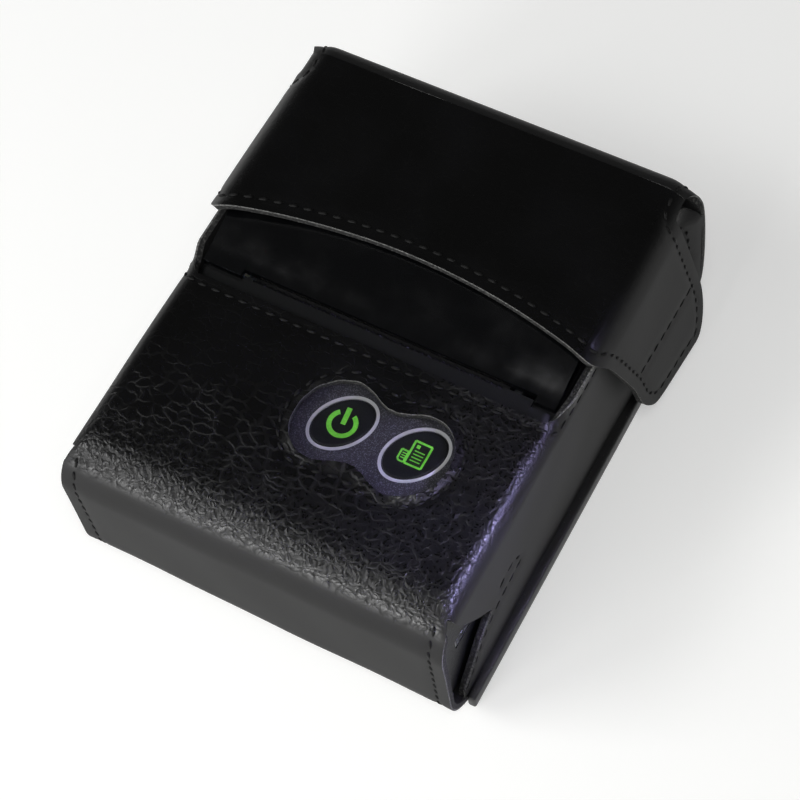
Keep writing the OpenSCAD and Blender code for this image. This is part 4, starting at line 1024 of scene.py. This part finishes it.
# %% [markdown]
# ## Signs on the keys
# The left key carries the usual on and off sign: a ring, open where a bar crosses it. The right
# one carries a plain sheet of paper with lines. They are flat shapes, cut finely enough to bend
# with the dish.

# %% Shapes of ink
INK = 0.03       # thickness of the ink over the key, mm
INK_CUT = 0.6    # size of the faces that a shape is cut into, mm


def flat_shape(bm, outline, centre):
    """A flat shape cut into small faces and laid on the dish. The outline is in mm."""
    part = bmesh.new()
    part.faces.new([part.verts.new((x, y, 0)) for x, y in outline])
    low, high = np.min(outline, axis=0), np.max(outline, axis=0)
    for axis, normal in enumerate(((1, 0, 0), (0, 1, 0))):
        for at in np.arange(low[axis], high[axis], INK_CUT)[1:]:
            bmesh.ops.bisect_plane(part, geom=part.verts[:] + part.edges[:] + part.faces[:],
                                   plane_co=Vector(normal) * at, plane_no=normal)
    bmesh.ops.recalc_face_normals(part, faces=part.faces)
    if sum(f.normal.z for f in part.faces) < 0:
        bmesh.ops.reverse_faces(part, faces=part.faces)
    bmesh.ops.solidify(part, geom=part.faces[:], thickness=0.02)
    for v in part.verts:
        v.co.z = dish_height(v.co.x, v.co.y, centre) + (INK if v.co.z > -0.01 else 0.0)
    mesh = bpy.data.meshes.new("part")
    part.to_mesh(mesh)
    part.free()
    bm.from_mesh(mesh)
    bpy.data.meshes.remove(mesh)


def bar(start, end, width):
    start, end = Vector(start), Vector(end)
    side = (end - start).orthogonal().normalized() * width / 2
    return [tuple(p) for p in (start - side, end - side, end + side, start + side)]


def frame_bars(corners, width):
    return [bar(p, q, width) for p, q in zip(corners, corners[1:] + corners[:1])]


def sign(name, shapes, key):
    bm = bmesh.new()
    for outline in shapes:
        flat_shape(bm, outline, KEYS[key])
    bmesh.ops.scale(bm, vec=(MM, MM, MM), verts=bm.verts)
    piece = as_object(name, bm, green_ink)
    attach(piece, BODY_OF[key])
    print(name, len(piece.data.polygons), "faces")


print("ink", INK, "mm thick")

# %% Green signs
POWER_CENTRE, POWER_R, POWER_W, POWER_GAP, POWER_TURN = (3.45, -20.45), 2.6, 0.95, 34, 94
first, last = POWER_TURN + POWER_GAP, POWER_TURN + 360 - POWER_GAP
ring = arc(POWER_CENTRE, POWER_R + POWER_W / 2, first, last, 40) \
    + arc(POWER_CENTRE, POWER_R - POWER_W / 2, last, first, 40)
sign("power_sign", [ring, bar((3.5, -20.5), (3.2, -16.9), 1.0)], "power_key")
sheet = [(17.8, -17.5), (21.3, -17.5), (21.3, -22.5), (17.8, -22.5)]
small_sheet = [(16.2, -20.1), (17.6, -20.1), (17.6, -22.5), (16.6, -22.5), (16.2, -22.1)]
lines = [bar((18.5, y), (20.6, y), 0.22) for y in (-19.4, -20.1, -20.8, -21.5)]
small_lines = [bar((16.6, y), (17.4, y), 0.2) for y in (-20.7, -21.2, -21.7)]
sign("paper_sign", frame_bars(sheet, 0.42) + frame_bars(small_sheet, 0.35)
     + [bar((18.45, -18.45), (19.15, -18.45), 0.7)] + lines + small_lines, "feed_key")

# %% [markdown]
# ## Finishes inside the printer
# Everything else keeps its exact CAD shape and only needs its finish. Most of these are one
# family: a base colour with a fine, even grain of a known size, drawn from noise. What differs is
# the real material, and so its grain, its gloss and its depth. Patterns with a direction come
# after that.

# %% Finishes with an even grain


def mottled(name, dark, light, roughness, grain, depth, stretch=(1, 1, 1), **sockets):
    """grain is the size of the pattern in mm, depth its relief in mm, stretch its direction."""
    material, tree, inputs = new_material(name, dark, roughness, **sockets)
    place = add(tree, "Mapping", i0=add(tree, "TexCoord", out=OBJECT), i3=stretch)
    speckle = add(tree, "TexNoise", size=grain, Vector=place, Detail=3.0)
    draw(tree, inputs, speckle, ((0.35, dark), (0.65, light)), 0.7, depth)
    gloss = (0.3, max(0.02, roughness - 0.06)), (0.7, roughness + 0.08)
    add(tree, "ValToRGB", {"stops": gloss}, Fac=speckle, to=inputs["Roughness"])
    return material


# Black ABS, moulded against a spark-eroded tool: an even, matt skin.
black_abs = mottled("black ABS, spark-eroded skin", "#08090a", "#0f1011", 0.56, 0.35, 0.03,
                    Specular_IOR_Level=0.3)
# Grey-black glass-filled nylon of the small parts on the board.
black_resin = mottled("black epoxy moulding compound", "#141414", "#202020", 0.6, 0.3, 0.02)
# Ground and polished steel of pins and shafts: fine lines round the bar.
ground_steel = mottled("ground steel", "#b9babc", "#d2d3d4", 0.22, 0.5, 0.004, (1, 0.1, 0.1),
                       Metallic=1.0)
# Music wire: bright, drawn.
spring_wire = mottled("drawn spring wire", "#a9aaac", "#c9cacc", 0.25, 0.3, 0.004, Metallic=1.0)
# Natural acetal: milky white, slightly waxy.
acetal = mottled("natural acetal", "#e6e5df", "#efeee8", 0.38, 0.8, 0.01,
                 Subsurface_Weight=0.15, Subsurface_Scale=0.0006)
# Ground silicone rubber of the platen: charcoal, dead matt, with fine lines round it.
rubber = mottled("ground silicone rubber", "#1c1c1d", "#282829", 0.75, 0.25, 0.02, (0.3, 1, 1))
# Zinc-plated sheet: bluish grey, with a faint cloudy spangle.
zinc = mottled("zinc-plated steel sheet", "#8e9296", "#aeb2b6", 0.36, 2.2, 0.01, Metallic=0.9)
# Alumina of the print head under its glass glaze: near white, glossy.
alumina = mottled("glazed alumina", "#d9d2c4", "#e3ddd1", 0.15, 0.6, 0.004)
# Anodised aluminium extrusion: brushed along its length.
aluminium = mottled("brushed aluminium", "#a6a9ab", "#c4c6c8", 0.34, 0.4, 0.01, (0.04, 1, 1),
                    Metallic=1.0)
# Polyimide film over copper: amber-brown, glossy.
polyimide = mottled("polyimide film over copper", "#8a4a12", "#a65f1c", 0.28, 1.2, 0.01)
# Screws: zinc-nickel, blackened.
dark_steel = mottled("blackened steel", "#1b1b1d", "#29292c", 0.46, 0.3, 0.01, Metallic=0.9)
# Phosphor bronze contacts with a gold flash.
bronze = mottled("gold-flashed bronze", "#b98a3a", "#cfa14c", 0.28, 0.4, 0.005, Metallic=1.0)
# Shrink sleeve round the cells: glossy PVC, slightly wrinkled.
sleeve = mottled("PVC shrink sleeve, blue", "#1d3a78", "#274a92", 0.3, 3.0, 0.08)
# Sealed can of the radio module: tinned sheet.
tinned = mottled("tinned shielding can", "#b4b6b8", "#cfd1d2", 0.3, 1.5, 0.01, Metallic=1.0)
print("even finishes ready")

# %% [markdown]
# ## Finishes with a pattern
# Paper on a roll shows its winding on the ends. The core is spiral-wound card. The circuit board
# has solder mask over fine tracks. Hook tape is rows of tiny hooks, loop tape is fuzz. The lid is
# clear plastic tinted grey, so it needs transmission.

# %% Patterned finishes
WINDING = 0.5       # width of one drawn turn of paper, mm; the real 0.06 mm would not show
CARD_STRIP = 9      # width of the card wound to a core, mm
TRACKS = 2.4        # spacing of the copper tracks, mm
HOOK = 1.1          # spacing of the hooks, drawn a little coarse so that they show
_, ROLL_Y, ROLL_Z = (sum(pair) / 2 for pair in zip(*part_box("paper_roll")))

# Thermal paper: coated white, smooth; the winding shows as fine rings on the ends.
thermal_paper, tree, inputs = new_material("coated thermal paper", "#ecebe7", 0.55)
centred = add(tree, "Mapping", i0=add(tree, "TexCoord", out=OBJECT), i1=(0, -ROLL_Y, -ROLL_Z))
turns = add(tree, "TexWave", {"wave_type": "RINGS", "rings_direction": "X"}, size=WAVE * WINDING,
            Vector=centred, Distortion=0.4)
draw(tree, inputs, turns, ((0.2, "#dddcd6"), (0.6, "#f0efec")), 0.3, 0.02)

# Core: grey-brown card, wound on a slant.
card, tree, inputs = new_material("spiral-wound card", "#9c7b55", 0.85)
slanted = add(tree, "Mapping", i0=add(tree, "TexCoord", out=OBJECT), i2=(0, 0, 0.5))
seam_lines = add(tree, "TexWave", {"bands_direction": "X"}, size=WAVE * CARD_STRIP,
                 Vector=slanted, Distortion=0.6, Detail=3.0)
draw(tree, inputs, seam_lines, ((0.05, "#7c5f3f"), (0.2, "#a5835b")), 0.4, 0.04)

# Circuit board: green solder mask over copper tracks.
fr4, tree, inputs = new_material("FR-4 board, green mask", "#0f4a26", 0.35)
tracks = add(tree, "TexBrick", size=TRACKS, Color1=linear("#0e4624"), Color2=linear("#10502a"),
             Mortar=linear("#2a7a48"), i5=0.03, to=inputs["Base Color"])
add(tree, "Bump", Strength=0.4, Distance=0.03 * MM, Height=tracks.node.outputs[1],
    to=inputs["Normal"])

# Radio module board: blue mask.
module_mask = mottled("FR-4 module, blue mask", "#122c55", "#16366a", 0.35, 0.9, 0.02)

# Hook tape: black nylon, rows of hooks.
hook_tape, tree, inputs = new_material("nylon hook tape, black", "#101010", 0.5)
hooks = add(tree, "TexVoronoi", size=HOOK, Randomness=0.2)
draw(tree, inputs, hooks, ((0.1, "#2c2c2c"), (0.5, "#0c0c0c")), 1.0, 0.4, invert=True)
# Loop tape: black nylon fuzz.
loop_tape = short_fibres("nylon loop tape, black", "#0b0b0b", "#2a2a2a", 0.95, 0.45, 0.3)

# Smoked polycarbonate: grey-tinted, polished outside.
smoked, tree, inputs = new_material("smoked polycarbonate", "#2a2c30", 0.16, IOR=1.58,
                                    Transmission_Weight=0.95)
wear = add(tree, "TexNoise", size=6, Detail=4.0)
add(tree, "ValToRGB", {"stops": ((0.35, 0.12), (0.7, 0.24))}, Fac=wear, to=inputs["Roughness"])
print("patterned finishes ready")

# %% [markdown]
# ## Tape and lid
# The hook and loop tapes and the lid keep the CAD's shape, but a real tape has a soft rim and a
# moulded lid has no sharp edge, so each is a copy with its edges rounded by a bevel.

# %% Rounded copies
for node, name, finish in (("hook_patches", "hook_tape_pads", hook_tape),
                           ("loop_patches", "loop_tape_pads", loop_tape),
                           ("paper_lid", "smoked_lid", smoked)):
    bevelled_copy(node, name, 0.2, finish)

# %% Hand the finishes out
FINISHES = (
    (black_abs, "lower_housing upper_housing battery_door paper_cradle"),
    (film, "button_faceplate"), (silver, "power_ring feed_ring"),
    (black_resin, "board_chips tact_switches paper_sensor"), (fr4, "main_board button_board"),
    (module_mask, "wireless_module"), (tinned, "usb_socket"), (bronze, "battery_contacts"),
    (ground_steel, "platen_shaft lid_hinge_pins head_pin idler_pin"),
    (spring_wire, "head_springs"), (rubber, "platen_rubber"),
    (acetal, "platen_gear idler_gear motor_pinion platen_bushings"), (zinc, "mech_frame"),
    (tinned, "stepper_motor"), (alumina, "thermal_head"), (aluminium, "head_heatsink"),
    (polyimide, "head_flex"), (dark_steel, "tear_blade housing_screws mech_screws board_screws"),
    (sleeve, "battery_pack"), (thermal_paper, "paper_roll"), (card, "paper_core"))
for material, names in FINISHES:
    for node in names.split():
        for slot in nodes[node].material_slots:
            slot.material = material
left = sorted(set(nodes) - {n for _, names in FINISHES for n in names.split()})
print("nodes without a finish here, each replaced by a piece:", left)

# %% [markdown]
# ## Floor, light and background
# Black leather is seen by what it mirrors. The pale floor gives the upright faces their soft grey.
# The main softbox stands front left and a second one above the camera. A low, wide one draws the
# light band along the nose, one near the floor fills the front, and a small cool lamp on the right
# draws the bluish edge. Overhead stays dark, so that the top stays black. The floor shines a
# little of its own light towards the camera, so that it looks white while the object's shadow
# stays.

# %% Floor
FLOOR_GLOW = 0.38                      # its own light, which also shows in mirrors and the lid
FLOOR_HALF, FLOOR_GAP = 3, 0.2 * MM    # half its width, and how far it lies under the object
floor_material, tree, inputs = new_material("white studio floor, matt board", "#dededc", 0.9,
                                            Specular_IOR_Level=0.2)
tooth = add(tree, "TexNoise", size=0.8)
add(tree, "Bump", Strength=0.05, Distance=0.05 * MM, Height=tooth, to=inputs["Normal"])
rays = add(tree, "LightPath").node.outputs
glow = rays["Is Camera Ray"]
for other in ("Is Glossy Ray", "Is Transmission Ray"):
    glow = add(tree, "Math", {"operation": "ADD"}, i0=glow, i1=rays[other])
add(tree, "Math", MULTIPLY, i0=glow, i1=FLOOR_GLOW, to=inputs["Emission Strength"])
inputs["Emission Color"].default_value = linear("#ffffff")
bm = bmesh.new()
bmesh.ops.create_grid(bm, x_segments=8, y_segments=8, size=FLOOR_HALF)
bmesh.ops.translate(bm, vec=(0, 0, cad_box[0][2] - FLOOR_GAP), verts=bm.verts)
floor = as_object("studio_floor", bm, floor_material)
print("floor", [round(v, 4) for v in floor.data.vertices[0].co])

# %% Lights


def softbox(name, bearing, height, distance, size, power, hex_code="#ffffff", aim=(0, 0, 0.03),
            spread=180):
    """An area lamp that looks at the object. Angles are in degrees, lengths in m."""
    lamp = bpy.data.lights.new(name, "AREA")
    lamp.shape, lamp.size, lamp.size_y = "RECTANGLE", size[0], size[1]
    lamp.energy, lamp.color, lamp.spread = power, linear(hex_code)[:3], math.radians(spread)
    away = towards(math.radians(bearing), math.radians(height))
    holder = bpy.data.objects.new(name, lamp)
    holder.location = away * distance + Vector(aim)
    holder.rotation_euler = away.to_track_quat("Z", "Y").to_euler()
    bpy.context.scene.collection.objects.link(holder)
    return holder


softbox("main_softbox", -50, 40, 1.5, (0.7, 0.5), 10)
softbox("camera_softbox", 42, 66, 1.6, (0.6, 0.6), 7.5)
softbox("nose_softbox", -11, 20, 1.0, (0.5, 0.18), 5.0)
softbox("low_softbox", -20, 3, 1.0, (0.7, 0.25), 3.2)
edge_softbox = softbox("edge_softbox", 110, 44, 0.3, (0.04, 0.04), 0.016, "#c4beff",
                       (0.030, -0.035, 0.043), 15)
# a black flag keeps the small cool lamp off the floor
flagged = bpy.data.collections.new("flagged_from_the_cool_light")
flagged.objects.link(floor)
flagged.collection_objects[0].light_linking.link_state = "EXCLUDE"
edge_softbox.light_linking.receiver_collection = flagged
print("lamps", [lamp.name for lamp in bpy.data.lights])

# %% Background
world = bpy.data.worlds.new("studio")
bpy.context.scene.world = world
world.use_nodes = True
tree = world.node_tree
# dark overhead, brighter towards the horizon
up = add(tree, "SeparateXYZ", out=2, Vector=add(tree, "TexCoord", out=0))
add(tree, "ValToRGB", {"stops": ((0.0, 0.6), (0.2, 0.35), (0.45, 0.1), (0.75, 0.045))}, Fac=up,
    to=tree.nodes["Background"].inputs["Color"])
bpy.context.scene.view_settings.view_transform = "Standard"
print("world", world.name)
